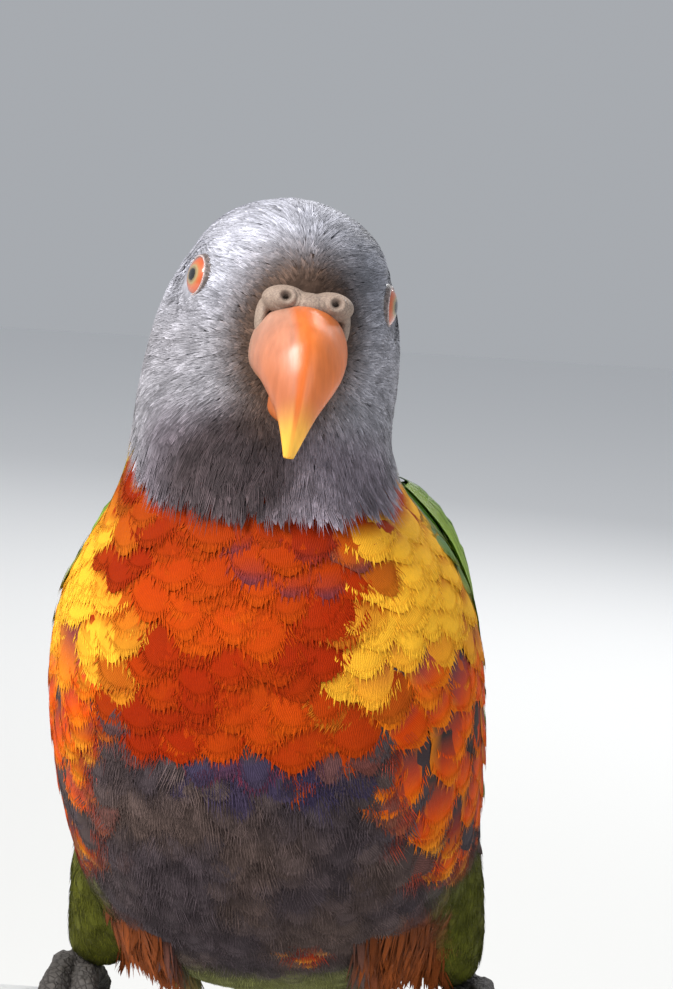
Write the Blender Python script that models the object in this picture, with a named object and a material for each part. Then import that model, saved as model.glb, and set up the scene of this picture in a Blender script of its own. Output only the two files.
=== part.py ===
"""A rainbow lorikeet on a cut length of rail, held by a plain display stand. Life size, a still model.

Lengths are written in millimetres with MM. +Z is up, the bird faces -Y, and the origin is the centre
of the stand's underside. The bird itself is laid out with the top of the rail as zero: "forward" is
towards the bill and "up" is +Z, so a point is (forward, up) on the mid plane, with x to the bird's left.
"""

import math

import bmesh
import bpy
from mathutils import Matrix, Quaternion, Vector

MM = 0.001
GAP = 0.32 * MM  # air that touching pieces keep

# Stand and rail
BASE_RADIUS = 55 * MM
BASE_THICK = 7 * MM
TAIL_CLEARANCE = 6 * MM  # between the tail's tip and the floor
RAIL_RADIUS = 9 * MM
RAIL_LENGTH = 124 * MM
ROD_RADIUS = 3 * MM
ROD_INSET = 16 * MM  # rod's axis from the rail's end

# How the bird holds itself
BODY_TURN = -4.0  # degrees about the vertical, to its right
BODY_LEAN = -4.2  # degrees about the line of sight, top to its right
HEAD_TURN = 14.0  # the head against the body
HEAD_PITCH = -6.0  # bill raised
HEAD_TILT = 10.0
NECK_PIVOT = (20, 84.4)  # forward, up
NECK_START, NECK_END = 8.4, 12.0  # slices between which the head's pose fades in

# Slices up the body: belly-side point, back-side point (forward, up), half width, how far forward of
# the back the slice is widest as a share of its depth, and the power of its curve in front, where 2 is
# an ellipse, more is squarer and less is more pointed.
BODY_SLICES = (
    ((-37, -22.6), (-45, -14.6), 9.5, 0.50, 2.1),  # tail root
    ((-26, -11.6), (-41.5, 0.4), 16.0, 0.50, 2.1),
    ((-12, -0.5), (-38, 14.4), 22.5, 0.50, 2.1),
    ((4, 4.0), (-33, 27.4), 26.3, 0.52, 2.2),
    ((19, 12.0), (-27.5, 39.4), 28.4, 0.53, 2.3),
    ((31, 23.6), (-21, 50.4), 29.3, 0.54, 2.3),
    ((38.5, 37.4), (-14.5, 60.4), 29.6, 0.54, 2.3),
    ((42, 50.9), (-8, 69.4), 29.0, 0.53, 2.2),
    ((42.5, 63.4), (-2, 77.4), 25.8, 0.52, 2.1),
    ((40, 73.9), (2, 84.4), 20.2, 0.50, 2.1),
    ((37.8, 82.4), (4, 90.9), 17.5, 0.48, 2.05),
    ((37, 89.9), (5, 97.4), 17.0, 0.46, 2.0),
    ((38, 95.9), (6, 103.4), 16.6, 0.45, 1.85),
    ((39.5, 101.4), (8.5, 108.4), 15.4, 0.45, 1.75),
    ((40, 106.6), (11.5, 112.4), 13.4, 0.46, 1.8),
    ((38, 111.8), (15.5, 115.8), 11.0, 0.48, 1.95),
    ((34, 115.6), (20.5, 117.6), 7.6, 0.50, 2.0),
    ((31, 117.5), (24, 118.4), 4.0, 0.50, 2.0),
)
CROWN = (27.5, 118.8)
BACK_POWER = 2.12
AROUND = 30  # sides of a slice
RINGS_PER_SLICE = 2
# Where the torso, neck and head part: front point, back point, and the slice whose turn the cut takes
NECK_CUT = ((39.5, 77.9), (2, 88.4), 9.5)
HEAD_CUT = ((38, 83.9), (5, 97.4), 10.6)

# Tail
TAIL_LENGTH = 122 * MM
TAIL_SLOPE = 58.5  # degrees below level
TAIL_STEP = 32 * MM
TAIL_HALF_WIDTH = 15.5 * MM
TAIL_ARCH = 4.2 * MM
TAIL_PAIRS = 6
TAIL_GRADE = 10.5 * MM  # each pair is shorter by this than the pair inside it

# Head
EYE_RADIUS = 3.5 * MM
EYE_CENTRE = (29.0, 106.1)  # forward, up
EYE_OUT = 10.6 * MM  # its centre from the mid plane
EYE_FORWARD = 24.0  # degrees that the eye looks ahead of straight out
LID_OPENING = 2.6 * MM
LID_THICK = 0.62 * MM

COLOURS = {
    "hood": ((0.16, 0.16, 0.22), 0.75, 0.0),
    "breast": ((0.80, 0.16, 0.01), 0.7, 0.0),
    "green": ((0.10, 0.24, 0.02), 0.6, 0.0),
    "tail": ((0.12, 0.26, 0.03), 0.6, 0.0),
    "thigh": ((0.16, 0.27, 0.02), 0.7, 0.0),
    "bill": ((0.82, 0.22, 0.05), 0.35, 0.0),
    "cere": ((0.20, 0.15, 0.11), 0.6, 0.0),
    "eye": ((0.45, 0.07, 0.01), 0.1, 0.0),
    "foot": ((0.13, 0.13, 0.13), 0.8, 0.0),
    "claw": ((0.03, 0.03, 0.03), 0.4, 0.0),
    "rail": ((0.52, 0.53, 0.53), 0.5, 0.3),
    "stand": ((0.10, 0.07, 0.05), 0.5, 0.0),
}


def clear_scene():
    for obj in list(bpy.data.objects):
        bpy.data.objects.remove(obj, do_unlink=True)


def material(name):
    found = bpy.data.materials.get(name)
    if found:
        return found
    colour, roughness, metallic = COLOURS[name]
    found = bpy.data.materials.new(name)
    found.use_nodes = True
    shader = found.node_tree.nodes["Principled BSDF"]
    shader.inputs["Base Color"].default_value = (*colour, 1)
    shader.inputs["Roughness"].default_value = roughness
    shader.inputs["Metallic"].default_value = metallic
    return found


def object_from(bm, name, finish=None):
    """A scene object from a bmesh, with its faces turned outwards."""
    bmesh.ops.recalc_face_normals(bm, faces=bm.faces)
    mesh = bpy.data.meshes.new(name)
    bm.to_mesh(mesh)
    bm.free()
    obj = bpy.data.objects.new(name, mesh)
    bpy.context.scene.collection.objects.link(obj)
    if finish:
        mesh.materials.append(material(finish))
    return obj


def smooth_step(t):
    t = min(max(t, 0.0), 1.0)
    return t * t * (3 - 2 * t)


def mix(a, b, t):
    return a + (b - a) * t


# Booleans

# solver and the distance under which vertices are joined after it, tried in turn until one closes
BOOLEAN_TRIES = (
    ("EXACT", 0.002 * MM),
    ("MANIFOLD", 0.002 * MM),
    ("MANIFOLD", 0.0004 * MM),
    ("EXACT", 0.0004 * MM),
    ("MANIFOLD", 0.01 * MM),
)


def boolean(target, others, operation):
    """Joins or cuts target by the other objects in one modifier, applies it and removes them."""
    group = bpy.data.collections.new("operands")
    bpy.context.scene.collection.children.link(group)
    for other in others:
        bpy.context.scene.collection.objects.unlink(other)
        group.objects.link(other)
    modifier = target.modifiers.new("boolean", "BOOLEAN")
    modifier.operation = operation
    modifier.operand_type = "COLLECTION"
    modifier.collection = group
    for solver, merge in BOOLEAN_TRIES:
        modifier.solver = solver
        graph = bpy.context.evaluated_depsgraph_get()
        made = bpy.data.meshes.new_from_object(target.evaluated_get(graph))
        keep_largest(made, merge)
        if is_closed(made):
            break
    target.modifiers.clear()
    target.data = made
    for other in others:
        bpy.data.objects.remove(other, do_unlink=True)
    bpy.data.collections.remove(group)


def is_closed(mesh):
    bm = bmesh.new()
    bm.from_mesh(mesh)
    closed = len(bm.faces) > 3 and all(len(e.link_faces) == 2 for e in bm.edges)
    bm.free()
    return closed


def keep_largest(mesh, merge):
    """Joins vertices nearer than a distance and drops every closed surface but the largest."""
    bm = bmesh.new()
    bm.from_mesh(mesh)
    bmesh.ops.remove_doubles(bm, verts=bm.verts, dist=merge)
    left = set(bm.verts)
    groups = []
    while left:
        stack = [left.pop()]
        group = list(stack)
        while stack:
            for edge in stack.pop().link_edges:
                for vert in edge.verts:
                    if vert in left:
                        left.remove(vert)
                        stack.append(vert)
                        group.append(vert)
        groups.append(group)
    groups.sort(key=extent_of, reverse=True)
    for group in groups[1:]:
        bmesh.ops.delete(bm, geom=group, context="VERTS")
    bm.to_mesh(mesh)
    bm.free()


def extent_of(verts):
    """The size of the box round some vertices."""
    size = 1.0
    for axis in range(3):
        values = [v.co[axis] for v in verts]
        size *= max(values) - min(values) + 0.01 * MM
    return size


def swollen(obj, by):
    """A copy of a closed object with its surface moved out by a distance, to cut its neighbours with."""
    bm = bmesh.new()
    bm.from_mesh(obj.data)
    bm.normal_update()
    moves = [vert.normal * by for vert in bm.verts]
    for vert, move in zip(bm.verts, moves):
        vert.co += move
    return object_from(bm, "cutter")


def cut_clear(target, *neighbours):
    """Cuts target back so that it stands a gap clear of each neighbour."""
    boolean(target, [swollen(other, GAP) for other in neighbours], "DIFFERENCE")


# The body's form

def tail_direction():
    slope = math.radians(TAIL_SLOPE)
    return Vector((-math.cos(slope), -math.sin(slope)))


def tail_slices():
    """Slices that carry on from the tail root, far end first. They only guide the tail and the wing tips."""
    along = tail_direction()
    back = Vector((along.y, -along.x))
    root = (Vector(BODY_SLICES[0][0]) + Vector(BODY_SLICES[0][1])) / 2
    found = []
    for step in (4, 3, 2, 1):
        centre = root + along * (step * TAIL_STEP / MM)
        rise = back * (TAIL_ARCH / MM)
        width = mix(BODY_SLICES[0][2] + 3, TAIL_HALF_WIDTH / MM, min(1, step / 2))
        found.append((tuple(centre - rise), tuple(centre + rise), width, 0.5, 2.1))
    return found


TAIL_SLICES = tail_slices()
SLICES = [*TAIL_SLICES, *BODY_SLICES]
FIRST = -len(TAIL_SLICES)  # slice 0 is the tail root


def catmull(values, t):
    """A smooth curve through evenly spaced values."""
    last = len(values) - 1
    t = min(max(t, 0.0), last)
    i = min(int(t), last - 1)
    p0, p1, p2, p3 = (values[min(max(k, 0), last)] for k in (i - 1, i, i + 1, i + 2))
    s = t - i
    return 0.5 * (
        2 * p1 + (p2 - p0) * s + (2 * p0 - 5 * p1 + 4 * p2 - p3) * s * s + (3 * p1 - p0 - 3 * p2 + p3) * s**3
    )


def slice_at(u):
    """Centre, unit vector to the back, depth behind and ahead of the centre, half width, front power."""
    t = u - FIRST
    front = Vector([catmull([s[0][k] for s in SLICES], t) for k in (0, 1)]) * MM
    back = Vector([catmull([s[1][k] for s in SLICES], t) for k in (0, 1)]) * MM
    width = catmull([s[2] for s in SLICES], t) * MM
    share = catmull([s[3] for s in SLICES], t)
    power = catmull([s[4] for s in SLICES], t)
    across = front - back
    centre = back + across * share
    return centre, -across.normalized(), across.length * share, across.length * (1 - share), width, power


def body_point(u, angle, lift=0.0):
    """A point on slice u: angle 0 is the middle of the back, 90 the left side, 180 the belly."""
    centre, towards_back, behind, ahead, width, front_power = slice_at(u)
    turn = math.radians(angle)
    c, s = math.cos(turn), math.sin(turn)
    depth, power = (behind, BACK_POWER) if c > 0 else (ahead, front_power)
    along = math.copysign(abs(c) ** (2 / power), c) * (depth + lift)
    side = math.copysign(abs(s) ** (2 / power), s) * (width + lift)
    flat = centre + towards_back * along
    return Vector((side, -flat.x, flat.y))


def flat_point(forward, up, x=0.0):
    """A point from its forward and up distances in millimetres."""
    return Vector((x, -forward * MM, up * MM))


HEAD_QUATERNION = (
    Quaternion((0, 0, 1), math.radians(HEAD_TURN))
    @ Quaternion((1, 0, 0), math.radians(HEAD_PITCH))
    @ Quaternion((0, 1, 0), math.radians(HEAD_TILT))
)


def pose_head(point, share):
    """Turns a point with the head, wholly where share is 1."""
    pivot = flat_point(*NECK_PIVOT)
    turn = Quaternion().slerp(HEAD_QUATERNION, share)
    return pivot + turn @ (point - pivot)


def body_matrix():
    """The body's turn and lean on the rail, and its height above the floor."""
    turn = Matrix.Rotation(math.radians(BODY_TURN), 4, "Z")
    lean = Matrix.Rotation(math.radians(BODY_LEAN), 4, "Y")
    return Matrix.Translation((0, 0, rail_height())) @ turn @ lean


def rail_height():
    """Height of the rail's top, from how far the tail hangs below it."""
    root = (Vector(BODY_SLICES[0][0]) + Vector(BODY_SLICES[0][1])) / 2 * MM
    drop = -(root.y + tail_direction().y * TAIL_LENGTH)
    return drop + TAIL_CLEARANCE


def place(point):
    """From the bird's own layout to the world."""
    return body_matrix() @ point


def place_head(point):
    return place(pose_head(point, 1.0))


def head_share(u):
    return smooth_step((u - NECK_START) / (NECK_END - NECK_START))


def whole_body():
    """Torso, neck and head as one closed form, in pose."""
    bm = bmesh.new()
    last = len(BODY_SLICES) - 1
    count = last * RINGS_PER_SLICE + 1
    rings = []
    for i in range(count):
        u = i / RINGS_PER_SLICE
        share = head_share(u)
        ring = []
        for k in range(AROUND):
            point = body_point(u, 360 * k / AROUND)
            ring.append(bm.verts.new(place(pose_head(point, share))))
        rings.append(ring)
    for low, high in zip(rings, rings[1:]):
        for k in range(AROUND):
            following = (k + 1) % AROUND
            bm.faces.new((low[k], low[following], high[following], high[k]))
    bm.faces.new(rings[0][::-1])
    top = bm.verts.new(place_head(flat_point(*CROWN)))
    for k in range(AROUND):
        bm.faces.new((rings[-1][k], rings[-1][(k + 1) % AROUND], top))
    return object_from(bm, "whole")


def parted(whole, name, finish, above=None, below=None):
    """The stretch of the whole body above one cut and below another, closed flat at each."""
    bm = bmesh.new()
    bm.from_mesh(whole.data)
    for cut, keep_above in ((above, True), (below, False)):
        if cut is None:
            continue
        share = head_share(cut[2])
        front, back, aside = (
            place(pose_head(point, share))
            for point in (flat_point(*cut[0]), flat_point(*cut[1]), flat_point(*cut[0], 10 * MM))
        )
        up = (aside - front).cross(front - back).normalized()
        if up.z < 0:
            up = -up
        shift = up * (GAP / 2) * (1 if keep_above else -1)
        made = bmesh.ops.bisect_plane(
            bm,
            geom=[*bm.verts, *bm.edges, *bm.faces],
            plane_co=front + shift,
            plane_no=up,
            clear_inner=keep_above,
            clear_outer=not keep_above,
        )
        edges = [e for e in made["geom_cut"] if isinstance(e, bmesh.types.BMEdge)]
        bmesh.ops.holes_fill(bm, edges=edges)
    return object_from(bm, name, finish)


# Lofted forms

def loft(bm, rings):
    """Skins closed rings of vertices positions into a closed tube with flat ends."""
    made = [[bm.verts.new(p) for p in ring] for ring in rings]
    for low, high in zip(made, made[1:]):
        for k in range(len(low)):
            following = (k + 1) % len(low)
            bm.faces.new((low[k], low[following], high[following], high[k]))
    bm.faces.new(made[0][::-1])
    bm.faces.new(made[-1])


def tube(path, radii, sides=8, squash=1.0):
    """Rings round a path, each square to it. squash flattens them across the path's own bend."""
    rings = []
    side = None
    for i, point in enumerate(path):
        ahead = path[min(i + 1, len(path) - 1)] - path[max(i - 1, 0)]
        ahead.normalize()
        if side is None:
            side = ahead.orthogonal().normalized()
        side = (side - ahead * side.dot(ahead)).normalized()
        up = ahead.cross(side)
        ring = []
        for k in range(sides):
            turn = 2 * math.pi * k / sides
            offset = side * math.cos(turn) + up * (math.sin(turn) * squash)
            ring.append(point + offset * radii[i])
        rings.append(ring)
    return rings


def ball(name, centre, radius, segments=18, rings=11, finish=None):
    bm = bmesh.new()
    bmesh.ops.create_uvsphere(bm, u_segments=segments, v_segments=rings, radius=radius)
    bmesh.ops.translate(bm, vec=centre, verts=bm.verts)
    return object_from(bm, name, finish)


# Feathers of the wings and tail

VANE_THICK = 0.52 * MM
LAYER = 0.90 * MM  # rise from one feather of a row to the next, where they lie over one another
SHAFT_RIDGE = 0.12 * MM
TIP_ROUNDING = 6.0 * MM
BODY_STEP = 14.0 * MM  # from one body slice to the next, roughly
ROOT_TILT = 0.6  # share of a feather's full tilt that it has at its root
ROOT_WIDTH = 0.8  # share of its full width there
# how far each of the last rows is from the tip, as a share of the rounding, and its share of the width
TIP_ROWS = ((1.0, 1.0), (0.35, 0.76), (0.0, 0.3))
TIP_FREE = 1.5  # no station comes nearer to the tip than this many roundings


def vane(rows):
    """One feather from rows of a slice and its (angle, lift) points across, root first."""
    bm = bmesh.new()
    top, bottom = [], []
    for u, points in rows:
        top.append([bm.verts.new(place(body_point(u, angle, lift))) for angle, lift in points])
        bottom.append(
            [bm.verts.new(place(body_point(u, angle, lift - VANE_THICK))) for angle, lift in points]
        )
    close_sheet(bm, top, bottom)
    return object_from(bm, "vane")


def close_sheet(bm, top, bottom):
    """Faces of a thin plate from two grids of vertices, split into like triangles on both sides."""
    rows, cells = len(top) - 1, len(top[0]) - 1
    for i in range(rows):
        for k in range(cells):
            for grid in (top, bottom):
                a, b = grid[i][k], grid[i][k + 1]
                c, d = grid[i + 1][k + 1], grid[i + 1][k]
                bm.faces.new((a, b, c))
                bm.faces.new((a, c, d))
    for i in range(rows):
        for k in (0, cells):
            a, b, c, d = top[i][k], top[i + 1][k], bottom[i + 1][k], bottom[i][k]
            bm.faces.new((a, b, c))
            bm.faces.new((a, c, d))
    for k in range(cells):
        for i in (0, rows):
            a, b, c, d = top[i][k], top[i][k + 1], bottom[i][k + 1], bottom[i][k]
            bm.faces.new((a, b, c))
            bm.faces.new((a, c, d))


def along_feather(root, tip, stations):
    """Slices of a feather's rows, each with its width as a share of the full width there."""
    step = TAIL_STEP if tip < 0 else BODY_STEP
    rounding = TIP_ROUNDING / step
    found = [(root, ROOT_WIDTH)]
    found += [(u, 1.0) for u in stations if root > u > tip + TIP_FREE * rounding]
    found += [(tip + share * rounding, width) for share, width in TIP_ROWS]
    return found


def feather_row(side, tips, root, stations, spot, overlap, root_lift, lift, cells=2):
    """Feathers side by side, each a layer over the next one out.

    tips are their last slices, and where one has ended the others spread into its place. spot gives
    the angle at a slice and a share of the row's width, and overlap is half a feather's width as a
    share of the distance between two.
    """
    feathers = []
    for index, tip in enumerate(tips):
        rows = []
        for u, width in along_feather(root, tip, stations):
            ended = ended_before(tips, u)
            pitch = 1 / (len(tips) - ended)
            tilt = ROOT_TILT if u == root else 1.0
            base = root_lift if u == root else lift
            points = []
            for k in range(cells + 1):
                across = (2 * k / cells - 1) * overlap * width
                ridge = SHAFT_RIDGE if 2 * k == cells else 0.0
                angle = side * spot(u, (index - ended + 0.5 + across) * pitch)
                points.append((angle, base + LAYER * across * tilt + ridge))
            rows.append((u, points))
        feathers.append(vane(rows))
    return feathers


def ended_before(tips, u):
    """How many feathers of a row, counted from its shorter end, have ended above a slice."""
    if u >= tips[0]:
        return 0.0
    for i in range(len(tips) - 1):
        if u >= tips[i + 1]:
            return i + (tips[i] - u) / (tips[i] - tips[i + 1])
    return len(tips) - 1.0


# Wings

WING_TOP = 8.75  # slice of the bend of the wing
WING_ARM_END = 4.9
ARM_LIFT = 2.3 * MM
ARM_EDGE = 1.2 * MM
ARM_UNDER = 0.4 * MM  # air between the arm and the torso
# slice, angle
LEADING_EDGE = ((8.75, 60), (8.1, 73), (6.5, 76), (5, 75), (4, 73), (2, 64), (0, 50), (-1.5, 32))
BACK_EDGE = ((8.75, 50), (8.0, 30), (6.5, 17), (4, 11), (2, 10), (0, 12), (-1.5, 20))
WING_STATIONS = (4.8, 3.7, 2.6, 1.5, 0.5, -0.2, -0.7)
WING_ROWS = (
    # tips from the back outwards, root, overlap, lift at the root and beyond it, cells across
    ((2.0, 1.6, 1.2, 0.8, 0.4, 0.0, -0.5, -0.98, -1.45), 5.9, 0.76, 1.7 * MM, 1.85 * MM, 2),
    ((4.2, 4.1, 4.0, 3.9, 3.8, 3.8), 6.8, 0.62, 1.6 * MM, 3.95 * MM, 2),
    ((6.1, 6.0, 5.9, 5.8, 5.8), 8.1, 0.60, 1.5 * MM, 3.6 * MM, 1),
)


def edge_at(edge, u):
    """Where an edge is at a slice, smoothed between its (slice, value) points."""
    for (high, high_value), (low, low_value) in zip(edge, edge[1:]):
        if u >= low:
            return mix(low_value, high_value, smooth_step((u - low) / (high - low)))
    return edge[-1][1]


def wing_angle(u, share):
    """share 0 is the wing's edge on the back, 1 its leading edge."""
    return mix(edge_at(BACK_EDGE, u), edge_at(LEADING_EDGE, u), share)


def wing_spot(u, share):
    """The angle of a feather's point, kept inside the edges of the wing."""
    return wing_angle(u, mix(0.06, 0.94, share))


def wing_arm(side):
    """The plate of the folded arm and hand, following the body, that the feathers are rooted in."""
    bm = bmesh.new()
    long_steps, cross_steps = 6, 5
    top, bottom = [], []
    for i in range(long_steps + 1):
        t = i / long_steps
        u = mix(WING_TOP, WING_ARM_END, t)
        outer_row, inner_row = [], []
        for k in range(cross_steps + 1):
            share = k / cross_steps
            edge = max(abs(2 * share - 1) ** 8, (2 * abs(t - 0.5)) ** 6)
            outer = mix(ARM_LIFT, ARM_EDGE, edge)
            angle = side * wing_angle(u, share)
            outer_row.append(bm.verts.new(place(body_point(u, angle, outer))))
            inner_row.append(bm.verts.new(place(body_point(u, angle, ARM_UNDER))))
        top.append(outer_row)
        bottom.append(inner_row)
    close_sheet(bm, top, bottom)
    return object_from(bm, "arm")


def wing(side, name):
    """The arm with its flight feathers and two rows of coverts."""
    arm = wing_arm(side)
    feathers = []
    for tips, root, overlap, root_lift, lift, cells in WING_ROWS:
        feathers += feather_row(
            side, tips, root, WING_STATIONS, wing_spot, overlap, root_lift, lift, cells
        )
    boolean(arm, feathers, "UNION")
    return finished(arm, name, "green")


def finished(obj, name, finish):
    """Names an object and gives it one material after its pieces are joined."""
    obj.name = name
    obj.data.materials.clear()
    obj.data.materials.append(material(finish))
    for face in obj.data.polygons:
        face.material_index = 0
    return obj


# Tail

# slice, half width of the spread feathers in millimetres
TAIL_EDGE = ((-0.3, 10.5), (-1.0, 13.5), (-2.0, 14.6), (-2.8, 12.0), (-3.4, 8.0), (-3.85, 5.0))
TAIL_MIDDLE = 0.2  # half the air between the middle pair, in millimetres
TAIL_STATIONS = (-0.8, -1.3, -1.8, -2.3, -2.8, -3.3)
TAIL_ROOT = -0.35
TAIL_OVERLAP = 1.25
TAIL_LIFT = -1.35 * MM
COVERTS_END = -1.05  # last slice of the tail coverts' block
COVERTS_TAPER = 2.3 * MM


def tail_spot(u, share):
    """The angle of a point across one half of the tail."""
    u = min(u, TAIL_EDGE[0][0])
    edge = mix(TAIL_MIDDLE, edge_at(TAIL_EDGE, u), share)
    return math.degrees(math.asin(max(-1.0, min(1.0, edge * MM / slice_at(u)[4]))))


def tail_half(side, tips):
    """The feathers of one half of the tail, the middle one the longest and each over the next one out."""
    feathers = []
    for index, tip in enumerate(tips):
        rows = []
        for u, width in along_feather(TAIL_ROOT, tip, TAIL_STATIONS):
            present = TAIL_PAIRS - ended_before(tips[::-1], u)
            tilt = ROOT_TILT if u == TAIL_ROOT else 1.0
            points = []
            for k in range(3):
                across = (k - 1) * TAIL_OVERLAP * width
                share = max(0.0, (index + 0.5 + across) / present)
                rise = LAYER * tilt * (share * present - index - 0.5)
                ridge = SHAFT_RIDGE if k == 1 else 0.0
                points.append((side * tail_spot(u, share), TAIL_LIFT + rise + ridge))
            rows.append((u, points))
        feathers.append(vane(rows))
    return feathers


def tail():
    """Twelve feathers stepped shorter to each side, rooted in the block of the tail coverts."""
    bm = bmesh.new()
    rings = []
    start = -GAP / TAIL_STEP
    steps, sides = 4, 18
    for i in range(steps + 1):
        t = i / steps
        u = mix(start, COVERTS_END, t)
        lift = -COVERTS_TAPER * t * t
        rings.append([place(body_point(u, 360 * k / sides, lift)) for k in range(sides)])
    loft(bm, rings)
    block = object_from(bm, "tail")
    longest = TAIL_LENGTH / TAIL_STEP
    tips = [-longest + i * TAIL_GRADE / TAIL_STEP for i in range(TAIL_PAIRS)]
    feathers = []
    for side in (-1, 1):
        feathers += tail_half(side, tips)
    boolean(block, feathers, "UNION")
    return finished(block, "tail", "tail")


# Head

UPPER_RIDGE = ((35, 105.4), (43.0, 104.4), (48.9, 99.0), (49.9, 91.6), (47.2, 85.0))
UPPER_EDGE = ((32.5, 94.0), (37.6, 93.5), (42.6, 92.8), (45.6, 89.6), (46.6, 85.2))
UPPER_WIDTHS = (5.4, 6.0, 5.4, 2.7, 0.6)
LOWER_EDGE = ((32.5, 93.4), (37.2, 92.9), (41.4, 92.2), (43.8, 90.2))
LOWER_KEEL = ((32.5, 88.8), (37.6, 88.4), (41.6, 89.0), (43.8, 90.0))
LOWER_WIDTHS = (4.3, 4.5, 3.4, 1.0)
BILL_ASIDE = 0.6  # how far the bill's root is from the head's mid plane, in millimetres
CERE_LOBES = (
    # x, forward, up of the middle, then half sizes
    (-2.9, 39.8, 104.5, 2.7, 2.7, 2.0),
    (2.9, 39.8, 104.5, 2.7, 2.7, 2.0),
    (0.0, 39.8, 104.8, 2.6, 2.5, 1.7),
)
NOSTRIL = (2.9, 42.3, 105.2)  # x, forward, up
NOSTRIL_RADIUS = 0.75 * MM


def head_pose_point(x, forward, up):
    return place_head(flat_point(forward, up, x * MM))


def curve_point(points, t):
    """A smooth curve through a few (forward, up) points."""
    span = t * (len(points) - 1)
    return Vector([catmull([p[k] for p in points], span) for k in (0, 1)])


def bill_half(name, ridge, edge, widths, rings=9, sides=14, belly=0.55):
    """A half of the bill: slices between its ridge line and its cutting edge, from the base out."""
    bm = bmesh.new()
    found = []
    for i in range(rings):
        t = i / (rings - 1)
        top, low = curve_point(ridge, t), curve_point(edge, t)
        width = catmull(widths, t * (len(widths) - 1))
        centre = top.lerp(low, belly)
        ring = []
        for k in range(sides):
            turn = 2 * math.pi * k / sides
            c, s = math.cos(turn), math.sin(turn)
            arm = (top - centre) * c if c > 0 else (low - centre) * abs(c) ** 0.7
            flat = centre + arm
            aside = width * math.copysign(abs(s) ** 0.92, s) + BILL_ASIDE * (1 - t)
            ring.append(head_pose_point(aside, flat.x, flat.y))
        found.append(ring)
    loft(bm, found)
    return object_from(bm, name, "bill")


def cere():
    """The bare saddle over the bill's root, a lobe round each nostril."""
    lobes = []
    for x, forward, up, across, deep, high in CERE_LOBES:
        bm = bmesh.new()
        bmesh.ops.create_uvsphere(bm, u_segments=8, v_segments=6, radius=1.0)
        for vert in bm.verts:
            p = vert.co
            vert.co = head_pose_point(x + p.x * across, forward - p.y * deep, up + p.z * high)
        lobes.append(object_from(bm, "lobe"))
    made = lobes[0]
    boolean(made, lobes[1:], "UNION")
    x, forward, up = NOSTRIL
    pits = [
        ball("pit", head_pose_point(side * x, forward, up), NOSTRIL_RADIUS, 7, 5) for side in (-1, 1)
    ]
    boolean(made, pits, "DIFFERENCE")
    return finished(made, "cere", "cere")


def lid_ring(side):
    """The raised rim of the lids round the eye's opening."""
    centre = flat_point(*EYE_CENTRE, side * EYE_OUT)
    turn = math.radians(EYE_FORWARD)
    axis = Vector((side * math.cos(turn), -math.sin(turn), 0.06)).normalized()
    reach = math.sqrt(EYE_RADIUS**2 - LID_OPENING**2)
    across = axis.cross(Vector((0, 0, 1))).normalized()
    up = across.cross(axis)
    bm = bmesh.new()
    turns, sides = 16, 6
    rings = []
    for i in range(turns):
        turn = 2 * math.pi * i / turns
        out = across * math.cos(turn) + up * math.sin(turn)
        middle = centre + axis * reach + out * (LID_OPENING + LID_THICK * 0.75)
        ring = []
        for k in range(sides):
            bend = 2 * math.pi * k / sides
            point = middle + (out * math.cos(bend) + axis * math.sin(bend)) * LID_THICK
            ring.append(bm.verts.new(place_head(point)))
        rings.append(ring)
    for i in range(turns):
        low, high = rings[i], rings[(i + 1) % turns]
        for k in range(sides):
            following = (k + 1) % sides
            bm.faces.new((low[k], low[following], high[following], high[k]))
    return object_from(bm, "lid")


def build_head(whole):
    head = parted(whole, "head", "hood", above=HEAD_CUT)
    boolean(head, [lid_ring(side) for side in (-1, 1)], "UNION")
    upper = bill_half("bill_upper", UPPER_RIDGE, UPPER_EDGE, UPPER_WIDTHS)
    lower = bill_half("bill_lower", LOWER_EDGE, LOWER_KEEL, LOWER_WIDTHS, rings=6, belly=0.4)
    saddle = cere()
    cut_clear(saddle, upper)
    cut_clear(lower, upper)
    eyes = []
    for side, word in ((1, "left"), (-1, "right")):
        centre = place_head(flat_point(*EYE_CENTRE, side * EYE_OUT))
        eyes.append(ball(f"eye_{word}", centre, EYE_RADIUS, 14, 8, "eye"))
    cut_clear(head, upper, lower, saddle, *eyes)
    return finished(head, "head", "hood")


# Legs and feet

FOOT_X = 29.3 * MM
FOOT_SHIFT = -2.2 * MM  # both feet to the bird's right of the middle of the rail
THIGH_SHIFT = -0.6 * MM
THIGH_HIGH = (
    # x, forward, up, radius: the part that leans with the body
    (18.8, 8.0, 38.0, 8.2),
    (21.7, 4.0, 25.0, 8.4),
)
THIGH_LOW = (
    # and the part that stands on the foot
    (24.1, -1.0, 14.5, 7.3),
    (26.4, -4.0, 8.0, 5.5),
    (27.6, -5.0, 4.8, 4.0),
)
TARSUS = ((28.4, -5.0, 5.4, 2.3), (28.8, -3.6, 3.8, 2.5), (29.3, -0.6, 2.6, 2.7))
TOES = (
    # number, way along the rail (1 ahead), length, radius, x at its root and its tip
    (1, -1, 12, 1.9, -1.3, -3.0),
    (2, 1, 16, 2.25, -1.5, -3.2),
    (3, 1, 23, 2.55, 1.7, 4.2),
    (4, -1, 19, 2.1, 1.7, 4.6),
)
TOE_FLESH = 1.12  # how far a toe's axis is from the rail, in radii
TOE_TAPER = (0.98, 0.74)
TOE_SWELL = 0.10  # of the joints
TOE_JOINTS = 3
TOE_ARCH = 1.2 * MM
TOE_BACK = 0.12  # radians behind the rail's top where a toe starts
CLAW_LENGTH = 6.5 * MM
CLAW_HOOK = 1.1 * MM
CLAW_TAPER = (0.92, 0.2)


def world_point(x, forward, up):
    """A point laid out from the rail's top that doesn't move with the body."""
    return Vector((x * MM + FOOT_SHIFT, -forward * MM, up * MM + rail_height()))


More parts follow.
